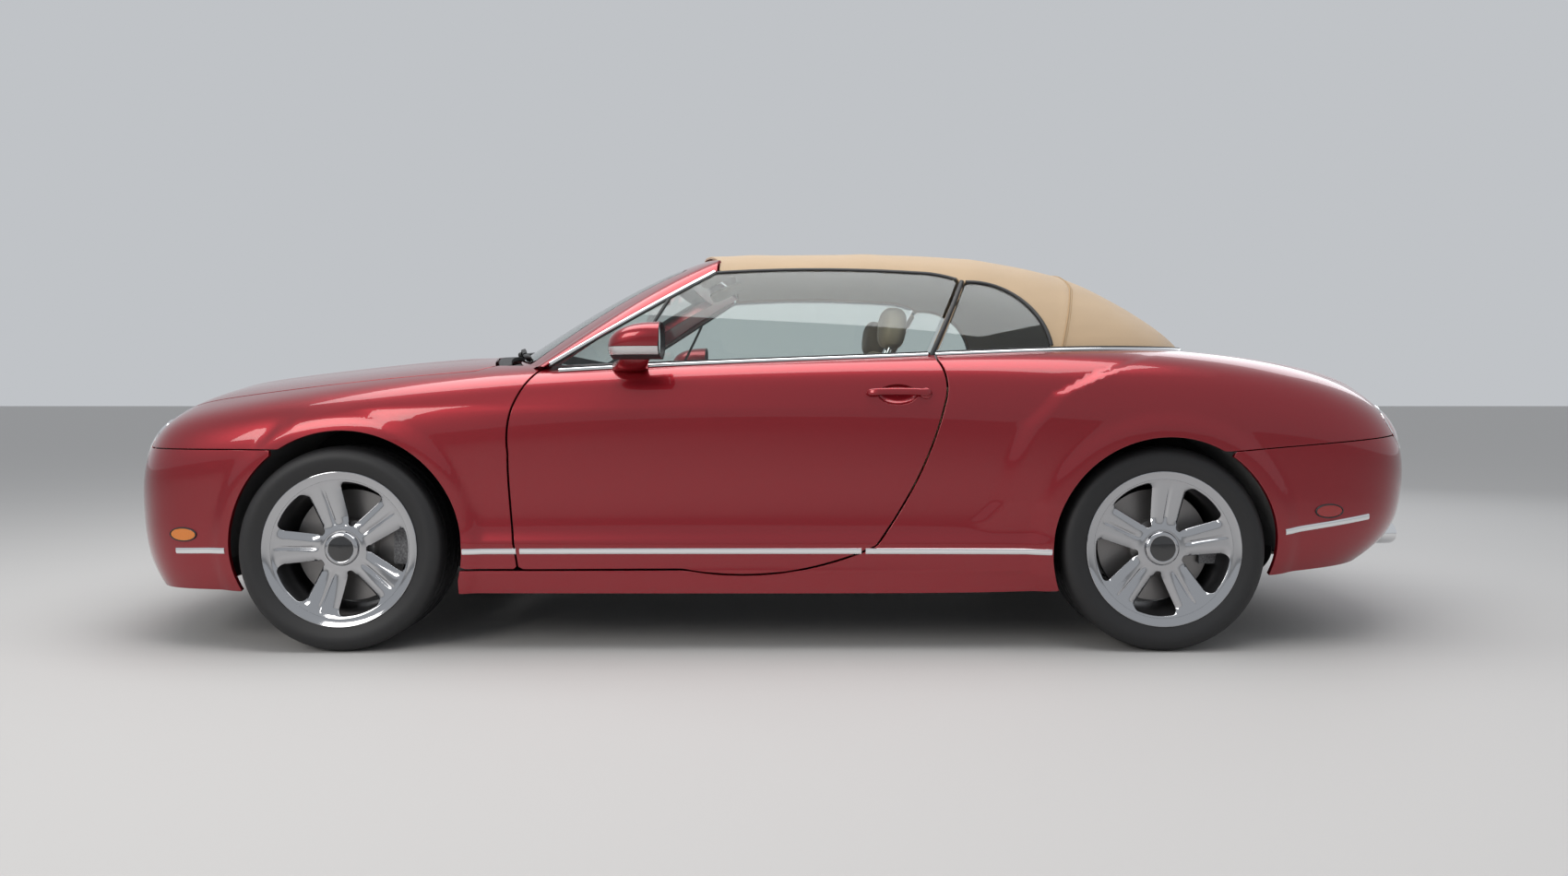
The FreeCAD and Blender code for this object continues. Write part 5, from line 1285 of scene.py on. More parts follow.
duct_face = path((421, 240), (421, 430), (770, 430), (770, 240))
for hand, mirror in HANDS:
    duct = panel(behind_nose, keep(front(duct_face), front_end), f"duct_{hand}", 26, depth=10, radius=3,
                 mirror=mirror)
    dress(duct, RADIATOR, "body", slot="dark")


# number plate recess, blank plate and handle strip on the boot lid
PLATE_X = X_TAIL + 27.0
PLATE_LINE = path((-285, 596), (-270, 742), ((0, 752), (270, 742)), (285, 596))
recess_ring, recess_n = surface_part(tail_skin, half_ring(PLATE_LINE, 60))
pan_ring = recess_ring.copy()
pan_ring[:, 0] = PLATE_X
steps = [recess_ring + recess_n * 0.4, recess_ring - recess_n * 2.5 + (pan_ring - recess_ring) * 0.06,
         pan_ring * [1, 0.995, 1], pan_ring * [1, 0.97, 1] + [2, 0, 0]]
centre_z = 672.0
steps += [np.stack([np.full(len(pan_ring), PLATE_X + 2), pan_ring[:, 1] * k,
                    centre_z + (pan_ring[:, 2] - centre_z) * k], axis=1) for k in (0.6, 0.3, 0.001)]
pan = [grid(f"plate_pan_{m}", steps, mirror=m == 1) for m in (0, 1)]
dress(join("plate_pan", pan), PAINT, "boot_lid_body", slot="paint")
rounded_box("number_plate", (PLATE_X - 4, 0, 668), (3.5, 258, 55), PLATE_WHITE, "boot_lid_body", "chrome",
            10, 12)
rounded_box("plate_surround", (PLATE_X + 1, 0, 668), (4.5, 266, 62), PIPING, "boot_lid_body", "dark", 10,
            12)
strip_y = np.linspace(-262, 262, 41)
strip_points, strip_n = surface_part(tail_skin, np.stack([np.abs(strip_y) + 0.001, np.full(41, 757.0)],
                                                         axis=1))
strip_points[:, 1] = strip_y
strip_n[:, 1] *= np.sign(strip_y)
dress(sweep("lid_handle_strip", strip_points, strip_n, round_profile(15, 7, 8), taper=12), CHROME,
      "boot_lid_body", slot="chrome")

# exhaust tips, pipes and silencer
tip_y, tip_z, tip_w, tip_h = EXHAUST
X_TIP_END, X_TIP_START, X_SILENCER_BACK = X_TAIL + 146, X_TAIL + 270, X_TAIL + 330
w = turns(64)


def tip_ring(x, gap):
    return np.stack([np.full(64, x), tip_y + (tip_w - gap) * np.cos(w),
                     tip_z + (tip_h - gap) * np.sin(w)], axis=1)


EXHAUST_STEEL = grain(material("exhaust_steel", (0.20, 0.18, 0.16), 0.42, 0.9), 45, 0.3,
                      tones=((0.12, 0.10, 0.09), (0.30, 0.27, 0.24)))
tip_rows = [tip_ring(X_TIP_START, 26), tip_ring(X_TIP_START - 8, 3), tip_ring(X_TIP_START - 16, 0),
            tip_ring(X_TIP_END + 4, 0), tip_ring(X_TIP_END + 1, 1), tip_ring(X_TIP_END, 3),
            tip_ring(X_TIP_END + 2, 5), tip_ring(X_TIP_END + 30, 6)]
for hand, mirror in HANDS:
    dress(grid(f"exhaust_tip_{hand}", tip_rows, close_v=True, mirror=mirror), CHROME, "body", slot="chrome")
    inner_rows = [tip_ring(X_TIP_END + 28, 6), tip_ring(X_TIP_START - 20, 8),
                  tip_ring(X_TIP_START - 18, 45)]
    dress(grid(f"exhaust_bore_{hand}", inner_rows, close_v=True, mirror=mirror), SOOT, "body", slot="dark")
    pipe = spread([(X_SILENCER_BACK + 30, 345, 285), (X_SILENCER_BACK - 10, 400, 296),
                   (X_TIP_START + 30, 480, 330), (X_TIP_START - 14, 505, 346)], 18)
    ups = np.tile([0.0, 0.0, 1.0], (18, 1))
    dress(sweep(f"exhaust_pipe_{hand}", pipe, ups, circle_profile(25, 16), mirror=mirror), EXHAUST_STEEL,
          "body", slot="iron")
silencer = rounded_box("silencer", (X_SILENCER_BACK + 115, 0, 279), (112, 396, 48), EXHAUST_STEEL, "body",
                       "iron", 5, 18)
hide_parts("exhaust")


# wipers
def wiper(name, pivot_y, blade):
    """A wiper arm from its spindle to the middle of its blade, and the blade on the glass."""
    line = resample(np.array(blade, float), 22.0)
    sign = np.sign(line[:, 0] + 1e-6)
    points, ups = surface_part(screen_surface, np.stack([np.abs(line[:, 0]) + 0.001, line[:, 1]], axis=1))
    points[:, 1] *= sign
    ups[:, 1] *= sign
    rubber = sweep(name + "_rubber", points + ups * 1.0, ups, [(1.2, 0), (2.6, 7), (-2.6, 7), (-1.2, 0)])
    holder = sweep(name + "_holder", points + ups * 8.0, ups, [(8, 0), (6, 7), (-3, 9), (-7, 5), (-7, 0)],
                   taper=30)
    mid = points[len(points) // 2] + ups[len(points) // 2] * 17
    base = np.array([1034.0 - abs(pivot_y) * 0.055, pivot_y, 0.0])
    u, v = locate(skin, [0, 1], [(base[0], abs(pivot_y))])
    base[2] = skin.point(u, v)[0, 2] + 10
    path_points = spread([base, base * 0.6 + mid * 0.4 + [0, 0, 16], mid], 16)
    arm = sweep(name + "_arm", path_points, np.tile([0.35, 0.0, 0.94], (16, 1)),
                [(9, -3), (7, 4), (-7, 4), (-9, -3)])
    rounded_box(name + "_spindle", base + [0, 0, -2], (17, 17, 12), BLACK, "body", "dark", 2.6, 8)
    dress(join(name, [rubber, holder, arm]), BLACK, "body", slot="dark")


wiper("wiper_left", 200.0, [(95, 1014), (655, 984)])
wiper("wiper_right", -400.0, [(-560, 990), (30, 1018)])


# cabin
HIDE = grain(material("cream_hide", (0.62, 0.50, 0.35), 0.46, Coat_Weight=0.08, Coat_Roughness=0.4), 420,
             0.35, 0.0006, 5.0, tones=((0.57, 0.455, 0.315), (0.66, 0.54, 0.385)))
HIDE_SEAM = material("hide_piping", (0.50, 0.38, 0.25), 0.5)
DARK_HIDE = grain(material("brown_hide", (0.075, 0.045, 0.028), 0.5), 520, 0.4, 0.0006,
                  tones=((0.06, 0.035, 0.022), (0.09, 0.055, 0.034)))
CARPET = grain(material("carpet", (0.30, 0.23, 0.155), 0.98, Sheen_Weight=0.6), 1100, 0.9, 0.003,
               tones=((0.20, 0.15, 0.10), (0.40, 0.31, 0.22)))
LINING = weave(material("lining", (0.55, 0.47, 0.36), 0.95, Sheen_Weight=0.4), 2.2, 0.2)
WOOD = material("walnut", (0.16, 0.06, 0.02), 0.25, Coat_Weight=1.0, Coat_Roughness=0.03)
wood_place = node(WOOD, "ShaderNodeMapping", [("Vector", node(WOOD, "ShaderNodeTexCoord"), "Object")],
                  Scale=(3.0, 1.0, 9.0))
figure = node(WOOD, "ShaderNodeTexNoise", [("Vector", wood_place, "Vector")], Scale=7.0, Detail=9.0,
              Distortion=2.2)
figure_tone = node(WOOD, "ShaderNodeValToRGB", [("Fac", figure, "Fac")])
figure_tone.color_ramp.elements[0].position, figure_tone.color_ramp.elements[1].position = 0.38, 0.66
figure_tone.color_ramp.elements[0].color = (0.045, 0.014, 0.005, 1)
figure_tone.color_ramp.elements[1].color = (0.26, 0.105, 0.035, 1)
WOOD.node_tree.links.new(figure_tone.outputs["Color"], principled(WOOD).inputs["Base Color"])
SCREEN_GLASS = material("dark_screen", (0.006, 0.007, 0.009), 0.05, Coat_Weight=1.0)


FLUTES = 5


class Pad:
    """A padded form: two crowned sheets sewn at a rounded rim, with bolsters and sewn channels."""

    def __init__(self, centre, across, along, up, half, crown=4.0, corner=0.45, bolster=0.0, flute=0.0,
                 roll=0.0):
        self.centre = np.array(centre, float)
        self.across, self.along, self.up = (np.array(a, float) / np.linalg.norm(a)
                                            for a in (across, along, up))
        self.half, self.crown, self.corner = half, crown, corner
        self.bolster, self.flute, self.roll = bolster, flute, roll

    def at(self, a, b, side=1.0):
        a, b = np.asarray(a, float), np.asarray(b, float)
        x = a * np.sqrt(1 - self.corner * b ** 2 / 2)
        y = b * np.sqrt(1 - self.corner * a ** 2 / 2)
        n = self.crown
        rim = np.maximum(1 - np.abs(a) ** n, 0) ** (1 / n) * np.maximum(1 - np.abs(b) ** n, 0) ** (1 / n)
        z = self.half[2] * rim
        if side > 0:
            shoulder = np.clip((np.abs(a) - 0.5) / 0.25, 0, 1)
            shoulder = shoulder ** 2 * (3 - 2 * shoulder)
            z = z + self.bolster * shoulder * rim
            middle = np.clip((0.60 - np.abs(a)) / 0.06, 0, 1) * np.clip((0.80 - np.abs(b)) / 0.08, 0, 1)
            channel = np.abs(np.sin(math.pi * FLUTES * a / 1.2 + math.pi / 2))
            z = z - self.flute * middle * (1 - channel) ** 1.6
            z = z - 5.0 * np.exp(-((np.abs(a) - 0.62) / 0.035) ** 2) * rim
            z = z + self.roll * np.clip((np.abs(b) - 0.78) / 0.1, 0, 1) * rim * (b > 0)
        z = z * side
        return (self.centre + x[..., None] * self.across * self.half[0]
                + y[..., None] * self.along * self.half[1] + z[..., None] * self.up)

    def build(self, name, mirror=False, mat=HIDE, body="body", steps=46, seams=True):
        t = np.sin(np.linspace(-math.pi / 2, math.pi / 2, steps))
        t[0], t[-1] = -1.0, 1.0
        a, b = np.meshgrid(t, t, indexing="ij")
        top, bottom = self.at(a, b), self.at(a, b, -1.0)
        count = steps * steps
        vertices = np.concatenate([top.reshape(-1, 3), bottom.reshape(-1, 3)])
        faces = []
        for i in range(steps - 1):
            for j in range(steps - 1):
                k = i * steps + j
                faces.append([k, k + steps, k + steps + 1, k + 1])
                faces.append([count + k, count + k + 1, count + k + steps + 1, count + k + steps])
        if mirror:
            vertices = vertices * FLIP
            faces = [f[::-1] for f in faces]
        obj = fix_normals(make_object(name, vertices, faces), 60.0, weld=2e-5)
        dress(obj, mat, body, slot="leather")
        if seams:
            lines = []
            for k in (-1.0, 1.0):
                bb = np.linspace(-0.93, 0.93, 40)
                lines.append(self.at(np.full(40, 0.62 * k), bb))
                lines.append(self.at(np.full(40, 0.9 * k), bb))
            aa = np.linspace(-0.6, 0.6, 40)
            lines.append(self.at(aa, np.full(40, 0.80)))
            lines.append(self.at(aa, np.full(40, -0.80)))
            cords = []
            for line in lines:
                if mirror:
                    line = line * FLIP
                up = self.up * FLIP if mirror else self.up
                cords.append(sweep(name + "_cord", line + up * 0.6, np.tile(up, (len(line), 1)),
                                   circle_profile(2.0, 6)))
            dress(join(name + "_piping", cords), HIDE_SEAM, body, slot="leather")
        return obj


SEAT_Y = 400.0
lean = np.array([-0.225, 0.0, 0.974])
facing = np.array([0.974, 0.0, 0.225])
for hand, mirror in HANDS:
    cushion = Pad((45, SEAT_Y, 392), (0, 1, 0), (1, 0, 0.06), (-0.06, 0, 1), (258, 282, 66), bolster=30,
                  flute=9, roll=8)
    main = cushion.build(f"seat_cushion_{hand}", mirror)
    back = Pad(np.array([-318, SEAT_Y, 712]), (0, 1, 0), lean, facing, (250, 315, 58), bolster=34,
               flute=9, corner=0.6, roll=6)
    back.build(f"seat_back_{hand}", mirror)
    head = Pad((-438, SEAT_Y, 1108), (0, 1, 0), (-0.12, 0, 1), (1, 0, 0.12), (128, 80, 50), crown=2.8,
               corner=0.75)
    head.build(f"headrest_{hand}", mirror, steps=36, seams=False)
    seam_b = np.linspace(-0.96, 0.96, 30)
    cords = []
    for k in (-0.34, 0.34):
        for side_of in (1.0, -1.0):
            line = head.at(np.full(30, k), seam_b, side_of) * [1, -1 if mirror else 1, 1]
            cords.append(sweep("cord", line, np.tile(head.up * side_of, (30, 1)), circle_profile(1.6, 6)))
    dress(join(f"headrest_seams_{hand}", cords), HIDE_SEAM, "body", slot="leather")
    posts = []
    for k in (-55, 55):
        y = (-SEAT_Y if mirror else SEAT_Y) + k
        ends = np.array([(-405, y, 985), (-430, y, 1045)], float)
        posts.append(sweep("post", ends, np.tile([1.0, 0, 0], (2, 1)), circle_profile(6.5, 12)))
    dress(join(f"headrest_posts_{hand}", posts), CHROME, "body", slot="chrome")
    rounded_box(f"seat_shell_{hand}", (-352, SEAT_Y, 690), (24, 236, 300), DARK_HIDE, "body", "interior",
                5, 12, turn=-0.227, mirror=mirror)
    rounded_box(f"seat_base_{hand}", (40, SEAT_Y, 300), (255, 228, 48), DARK_HIDE, "body", "interior", 7,
                12, mirror=mirror)
    for k in (-165, 165):
        rounded_box(f"seat_rail_{hand}_{k}", (40, SEAT_Y + k, 231), (215, 16, 16), MESH_METAL, "body",
                    "iron", 6, 6, mirror=mirror, rows=8)
    rear = Pad((-742, 305, 392), (0, 1, 0), (1, 0, 0.10), (-0.10, 0, 1), (292, 150, 60), bolster=16,
               flute=8, corner=0.5)
    rear.build(f"rear_cushion_{hand}", mirror)
    rear_back = Pad((-935, 305, 690), (0, 1, 0), (-0.23, 0, 0.973), (0.973, 0, 0.23), (292, 245, 46),
                    bolster=18, flute=8, corner=0.5)
    rear_back.build(f"rear_backrest_{hand}", mirror)
    rounded_box(f"rear_plinth_{hand}", (-770, 305, 276), (170, 300, 58), CARPET, "body", "interior", 8,
                12, mirror=mirror)
    rounded_box(f"side_rest_{hand}", (-800, 690, 640), (190, 56, 250), HIDE, "body", "leather", 4, 14,
                mirror=mirror)
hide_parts("front_seats")
rear_rest = Pad((-760, 0, 470), (0, 1, 0), (1, 0, 0.06), (-0.06, 0, 1), (70, 130, 40), crown=3.0)
rest = rear_rest.build("rear_armrest", steps=32, seams=False)
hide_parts("rear_seat")


class Flat(Surface):
    """A flat sheet with the calls of a surface. One step of a parameter is one along or up vector."""

    def __init__(self, origin, along, up, ends, raise_by=None):
        self.origin, self.along, self.up = (np.array(a, float) for a in (origin, along, up))
        self.ends, self.raise_by, self.offset = ends, raise_by, 0.0

    def base(self, u, v):
        return self.origin + np.outer(u, self.along) + np.outer(v, self.up)

    def base_normal(self, u, v):
        n = np.cross(self.along, self.up)
        return np.tile(n / np.linalg.norm(n), (len(u), 1))


def bump_band(t, low, high, edge):
    """One between low and high, with soft edges."""
    return 1 / (1 + np.exp(-(t - low) / edge)) - 1 / (1 + np.exp(-(t - high) / edge))


def door_relief(p):
    x, z = p[:, 0], p[:, 2]
    length = bump_band(x, -360, 640, 22)
    lift = 34 * bump_band(z, 590, 655, 7) * bump_band(x, -330, 480, 40)
    lift += 20 * bump_band(z, 365, 480, 10) * length
    lift += 14 * bump_band(z, 872, 1020, 9)
    return lift - 5 * np.exp(-((z - 800) / 5.0) ** 2) - 4 * np.exp(-((z - 520) / 4.0) ** 2)


door_flat = Flat((-700, 797, 100), (100, 0, 0), (0, 0, 100), (17.0, 9.2), door_relief)
for hand, mirror in HANDS:
    card = panel(door_flat, keep(lambda p: door_region(p) + 24.0, slab(2, 352, 946)), f"door_card_{hand}",
                 20, depth=6, radius=4, mirror=mirror)
    dress(card, HIDE, f"door_{hand}_body", slot="leather")
    rail = panel(Flat((-700, 781, 100), (100, 0, 0), (0, 0, 100), (17.0, 9.2)),
                 keep(lambda p: door_region(p) + 60.0, slab(2, 886, 926)), f"door_wood_{hand}", 14,
                 depth=5, radius=3, mirror=mirror)
    dress(rail, WOOD, f"door_{hand}_body", slot="interior")
    sign = -1 if mirror else 1
    pull = spread([(120, 778, 690), (100, 758, 716), (20, 752, 730), (-80, 756, 722), (-105, 776, 696)],
                  22) * [1, sign, 1]
    dress(sweep(f"door_pull_{hand}", pull, np.tile([0.0, -sign, 0.2], (22, 1)), circle_profile(9, 10),
                taper=14), CHROME, f"door_{hand}_body", slot="chrome")
    rounded_box(f"door_lever_{hand}", (300, 772, 745), (44, 7, 11), CHROME, f"door_{hand}_body", "chrome",
                4, 6, mirror=mirror, rows=8)
    speaker = lathe(f"door_speaker_{hand}", [(0, 0.01), (0, 62), (3, 70), (6, 72), (9, 70), (9, 0.01)],
                    (560, sign * 782, 500), 48, flip=-sign)
    dress(speaker, MESH_METAL, f"door_{hand}_body", slot="iron")


# dashboard, from profiles that change across the car
DASH_PROFILE = [(940, 925), (860, 922), (780, 908), (708, 884), (668, 850), (650, 806), (648, 770),
                (654, 730), (672, 700), (716, 668), (800, 662), (900, 690), (978, 700), (978, 828)]
dash_rows = []
for y in np.linspace(-756, 756, 85):
    cowl = math.exp(-((y - 392) / 150.0) ** 4) + math.exp(-((y + 392) / 190.0) ** 4) * 0.45
    stack = math.exp(-(y / 120.0) ** 6)
    end = max(abs(y) - 700.0, 0.0) / 56.0
    row = []
    smooth = spread(DASH_PROFILE, 54)
    for x, z in smooth:
        top = 1 / (1 + math.exp(-(z - 840) / 12.0))
        rearward = 1 / (1 + math.exp((x - 730) / 22.0))
        dx = -26 * cowl * rearward * top - 20 * stack * rearward * (1 - top)
        dz = 30 * cowl * top * math.exp(-((x - 745) / 75.0) ** 2) - 10 * stack * top * rearward
        row.append((x + dx + 18 * end * end * rearward, y, z + dz - 12 * end * end * top))
    dash_rows.append(row)
dash = grid("dashboard_body", dash_rows, close_v=True, caps=True, angle=50)
dress(dash, DARK_HIDE, "body", "dashboard", slot="interior")
fascia_rows = []
for y in np.linspace(-735, 735, 90):
    stack = math.exp(-(y / 120.0) ** 6)
    face = spread([(662, 826), (651, 800), (650, 768), (657, 736)], 9)
    fascia_rows.append([(x - 3.0 - 20 * stack, y, z) for x, z in face]
                       + [(x + 4.0 - 20 * stack, y, z) for x, z in face[::-1]])
dress(grid("dashboard_fascia", fascia_rows, close_v=True, caps=True), WOOD, "body", slot="interior")
for k, y in enumerate((-640, -180, 180, 640)):
    for n, (r0, r1) in enumerate(((34, 41), (10, 13))):
        ring = []
        for x_off, r in ((0, r0), (-5, r0 + 1), (-8, (r0 + r1) / 2), (-5, r1), (0, r1)):
            a = turns(40)
            shift = -20 * math.exp(-(y / 120.0) ** 6)
            ring.append(np.stack([np.full(40, 648 + x_off + shift), y + r * np.cos(a),
                                  778 + r * np.sin(a)], axis=1))
        dress(grid(f"vent_ring_{k}_{n}", ring, close_v=True), CHROME, "body", slot="chrome")
    slats = [rounded_box("slat", (648 - 20 * math.exp(-(y / 120.0) ** 6), y, 778 + dz),
                         (3, math.sqrt(33 ** 2 - dz ** 2), 2), BLACK, "body", "dark", 4, 6,
                         rows=6) for dz in (-22, -13, -4, 5, 14, 23)]
    dress(join(f"vent_slats_{k}", slats), BLACK, "body", slot="dark")
for k, (y, r) in enumerate(((330, 46), (454, 46), (392, 24))):
    ring = []
    a = turns(48)
    for off, rr in ((4, r + 5), (-3, r + 6), (-6, r + 2), (-4, r - 2), (6, r - 3), (7, 0.01)):
        ring.append(np.stack([622 + off + 0.28 * rr * np.sin(a), y + rr * np.cos(a),
                              868 + rr * np.sin(a)], axis=1))
    dress(grid(f"dial_{k}", ring[:4], close_v=True), CHROME, "body", slot="chrome")
    dress(grid(f"dial_face_{k}", ring[3:], close_v=True), SCREEN_GLASS, "body", slot="dark")
rounded_box("centre_screen", (624, 0, 765), (3, 78, 44), SCREEN_GLASS, "body", "dark", 9, 10)
rounded_box("screen_bezel", (628, 0, 765), (5, 86, 52), CHROME, "body", "chrome", 9, 10)

# console between the seats
console_rows = []
for x, top, half in spread([(690, 690, 118), (640, 640, 118), (560, 585, 112), (420, 560, 106),
                            (150, 552, 102), (-120, 556, 104), (-330, 556, 108), (-400, 520, 104)], 56):
    ring = [(x, -half, 332), (x, -half, top - 26)]
    arc = [(22 - 22 * math.cos(a), top - 26 + 26 * math.sin(a)) for a in np.linspace(0.25, 1.45, 6)]
    ring += [(x, -half + y, z) for y, z in arc]
    ring += [(x, y, top + 3 * (1 - (y / half) ** 2)) for y in np.linspace(-half + 30, half - 30, 9)]
    ring += [(x, half - y, z) for y, z in arc[::-1]]
    ring += [(x, half, top - 26), (x, half, 332)]
    console_rows.append(ring)
dress(grid("console_body", console_rows, caps=True, angle=50), DARK_HIDE, "body", slot="interior")
wood_rows = []
for x, top in spread([(600, 615), (560, 590), (420, 565), (200, 558), (60, 558)], 34):
    wood_rows.append([(x, y, top + 4 + 3 * (1 - (y / 104) ** 2) * 1.2) for y in np.linspace(-72, 72, 13)]
                     + [(x, y, top - 6) for y in np.linspace(72, -72, 13)])
dress(grid("console_wood", wood_rows, close_v=True, caps=True), WOOD, "body", slot="interior")
rest = Pad((-200, 0, 575), (0, 1, 0), (1, 0, 0), (0, 0, 1), (92, 165, 34), crown=3.2, corner=0.4)
rest.build("console_armrest", steps=34, seams=False)
for k, x in enumerate((95, -5)):
    ring = []
    a = turns(40)
    for z_off, r in ((562, 34), (569, 36), (571, 40), (566, 44), (558, 45)):
        ring.append(np.stack([x + 60 + r * np.cos(a), r * np.sin(a), np.full(40, z_off)], axis=1))
    dress(grid(f"cup_ring_{k}", ring, close_v=True), CHROME, "body", slot="chrome")
gear = spread([(330, 0, 560), (326, 0, 600), (318, 0, 634)], 14)
dress(sweep("gear_stem", gear, np.tile([1.0, 0, 0], (14, 1)), circle_profile(7, 12)), CHROME, "body",
      slot="chrome")
rounded_box("gear_knob", (316, 0, 654), (23, 26, 28), DARK_HIDE, "body", "interior", 2.6, 12)
rounded_box("gear_gate", (330, 0, 570), (62, 34, 5), CHROME, "body", "chrome", 6, 10, rows=8)

# steering wheel in its own plane
WHEEL_AT = np.array([520.0, 392.0, 812.0])
tilt = math.radians(-66.0)
w_up = np.array([math.cos(tilt), 0, -math.sin(tilt)])
w_side = np.array([0.0, 1.0, 0.0])
w_axis = np.array([math.sin(tilt), 0, math.cos(tilt)])


def wheel_point(a, b, c):
    return (WHEEL_AT + np.multiply.outer(a, w_up) + np.multiply.outer(b, w_side)
            + np.multiply.outer(c, w_axis))


rim_rows = []
for a in turns(96):
    grip = 1.0 + 0.10 * (math.exp(-((math.degrees(a) - 55) / 14) ** 2)
                         + math.exp(-((math.degrees(a) - 305) / 14) ** 2))
    t = turns(16)
    r = 182 + 14.4 * grip * np.cos(t)
    rim_rows.append(wheel_point(r * math.cos(a), r * math.sin(a), 14.4 * grip * np.sin(t)))
dress(grid("steering_rim", rim_rows, close_u=True, close_v=True, angle=80), DARK_HIDE,
      "steering_wheel_body", "steering_wheel", slot="leather")
spokes = []
for a, width in ((90, 26), (270, 26), (180, 34)):
    ca, sa = math.cos(math.radians(a)), math.sin(math.radians(a))
    rows = []
    for r in np.linspace(45, 176, 16):
        half_w = width * (1.25 - 0.45 * math.sin(math.pi * (r - 45) / 131))
        lift = -10 + 8 * (r / 176) ** 2
        ring = []
        for t in turns(16):
            across = half_w * power(np.cos(t), 3.0)
            ring.append(wheel_point(r * ca - across * sa, r * sa + across * ca,
                                    lift + 6.5 * power(np.sin(t), 3.0)))
        rows.append(ring)
    spokes.append(grid("spoke", rows, close_v=True, caps=True))
dress(join("steering_spokes", spokes), CHROME, "steering_wheel_body", slot="chrome")
hub = Pad(WHEEL_AT + w_axis * 2, w_side, w_up, w_axis, (76, 66, 22), crown=3.0, corner=0.8)
hub.build("steering_hub_pad", False, DARK_HIDE, "steering_wheel_body", 36, seams=False)
column = [wheel_point(0.0, 0.0, c) for c in (-12.0, -40.0, -90.0, -175.0)]
dress(sweep("steering_column", column, np.tile(w_up, (4, 1)), circle_profile(23.5, 20)), BLACK,
      "steering_wheel_body", slot="dark")

# carpets, rear shelf, lining, sun visors and mirror
for hand, mirror in HANDS:
    for name, centre, half, mat, slot_name, power_n, steps, turn in (
            ("floor_carpet", (470, 440, 222), (340, 300, 7), CARPET, "interior", 10, 12, 0.0),
            ("rear_carpet", (-440, 440, 222), (160, 300, 7), CARPET, "interior", 10, 12, 0.0),
            ("sill_carpet", (300, 768, 300), (560, 8, 62), CARPET, "interior", 8, 10, 0.0),
            ("sun_visor", (230, 330, 1317), (76, 178, 8), LINING, "fabric", 6, 12, 0.42)):
        rounded_box(f"{name}_{hand}", centre, half, mat, "body", slot_name, power_n, steps, turn, mirror, 8)
rounded_box("rear_shelf", (-1175, 0, 915), (130, 700, 9), CARPET, "body", "interior", 8, 14, rows=8)
lining_region = keep(plan(path((190, 600), (190, -1000), (-1330, -1000), (-1330, 1000), (190, 1000))),
                     without(door_glass_region, 16.0), without(quarter_glass_region, 10.0),
                     without(door_region, SHUT_GAP), slab(2, 1010, 1500))
lining = panel(Surface(roof_cage(), None, -17.0), lining_region, "headlining", 45, depth=3, radius=1,
               both=True)
dress(lining, LINING, "body", slot="fabric")
rounded_box("inner_mirror", (470, 0, 1265), (9, 112, 30), BLACK, "body", "dark", 4, 12)
rounded_box("inner_mirror_glass", (460, 0, 1265), (2, 104, 24), SILVER, "body", "chrome", 6, 12)
dress(sweep("inner_mirror_stem", np.array([(478, 0, 1268), (500, 0, 1296), (512, 0, 1316)], float),
            np.tile([1.0, 0, 0.2], (3, 1)), circle_profile(8, 12)), BLACK, "body", slot="dark")

# under the bonnet
ENGINE_GREY = grain(material("engine_cover", (0.03, 0.03, 0.033), 0.42), 300, 0.3)
rounded_box("engine_cover", (1440, 0, 805), (280, 215, 24), ENGINE_GREY, "body", "dark", 5, 16)
ribs = [rounded_box("rib", (1440, y, 829), (225, 9, 6), MESH_METAL, "body", "iron", 4, 8,
                    rows=8) for y in range(-150, 151, 50)]
dress(join("engine_cover_ribs", ribs), MESH_METAL, "body", slot="iron")
for k, y in enumerate((-262, 262)):
    rounded_box(f"air_box_{k}", (1430, y, 800), (230, 38, 34), BLACK, "body", "dark", 5, 12)

# trays under the nose and the tail
for name, u0, u1, x_low, x_high in (("front_undertray", 0.0, 5.2, 1880.0, 2600.0),
                                    ("rear_undertray", 10.2, 17.0, -2600.0, -1640.0)):
    us = np.linspace(u0, min(u1, skin.ends[0]), 60)
    lip = body_surface.point(us, np.full(60, 0.03))
    n = body_surface.normal(us, np.full(60, 0.03))
    lip = lip - n * 16
    inside = (lip[:, 0] > x_low) & (lip[:, 0] < x_high)
    lip = lip[inside]
    rows = [lip * [1, k, 1] + [0, 0, 6 + 3 * math.sin(k * 9)] for k in (1.0, 0.97, 0.8, 0.6, 0.4, 0.2, 0.0)]
    rows += [row + [0, 0, 5] for row in rows[::-1]]
    halves = [grid(f"{name}_{m}", rows, close_u=True, mirror=m == 1) for m in (0, 1)]
    dress(join(name, halves), BLACK, "body", slot="dark")

# dark plates below the ends of the arch liners, as painted shade: black sheets that hide the lit floor where
# the shadow under the car falls
for name, x, z, radius, y_in, z_top, z_low, toward in (
        ("front_shade_plate", X_FRONT_ARCH, Z_FRONT_ARCH, FRONT_ARCH_RADIUS + 33.0, 482.0, 330.0, 238.0, 1.0),
        ("rear_shade_plate", X_REAR_ARCH, Z_REAR_ARCH, REAR_ARCH_RADIUS - 5.0, 660.0, 345.0, 262.0, -1.0)):
    heights = np.linspace(z_top, z_low, 12)
    outer = 886.0 - 60.0 * ((z_top - heights) / (z_top - z_low)) ** 2
    for hand, mirror in HANDS:
        rows = []
        for r_add, widen in ((0.0, 0.0), (0.0, 1.0), (3.0, 1.0), (3.0, 0.0)):
            depth = np.sqrt((radius + r_add) ** 2 - (heights - z) ** 2)
            rows.append(np.stack([x + toward * depth, y_in + (outer - y_in) * widen, heights], axis=1))
        plate = grid(f"{name}_{hand}", rows, close_u=True, mirror=mirror, angle=30)
        dress(plate, BLACK, "body", slot="dark")

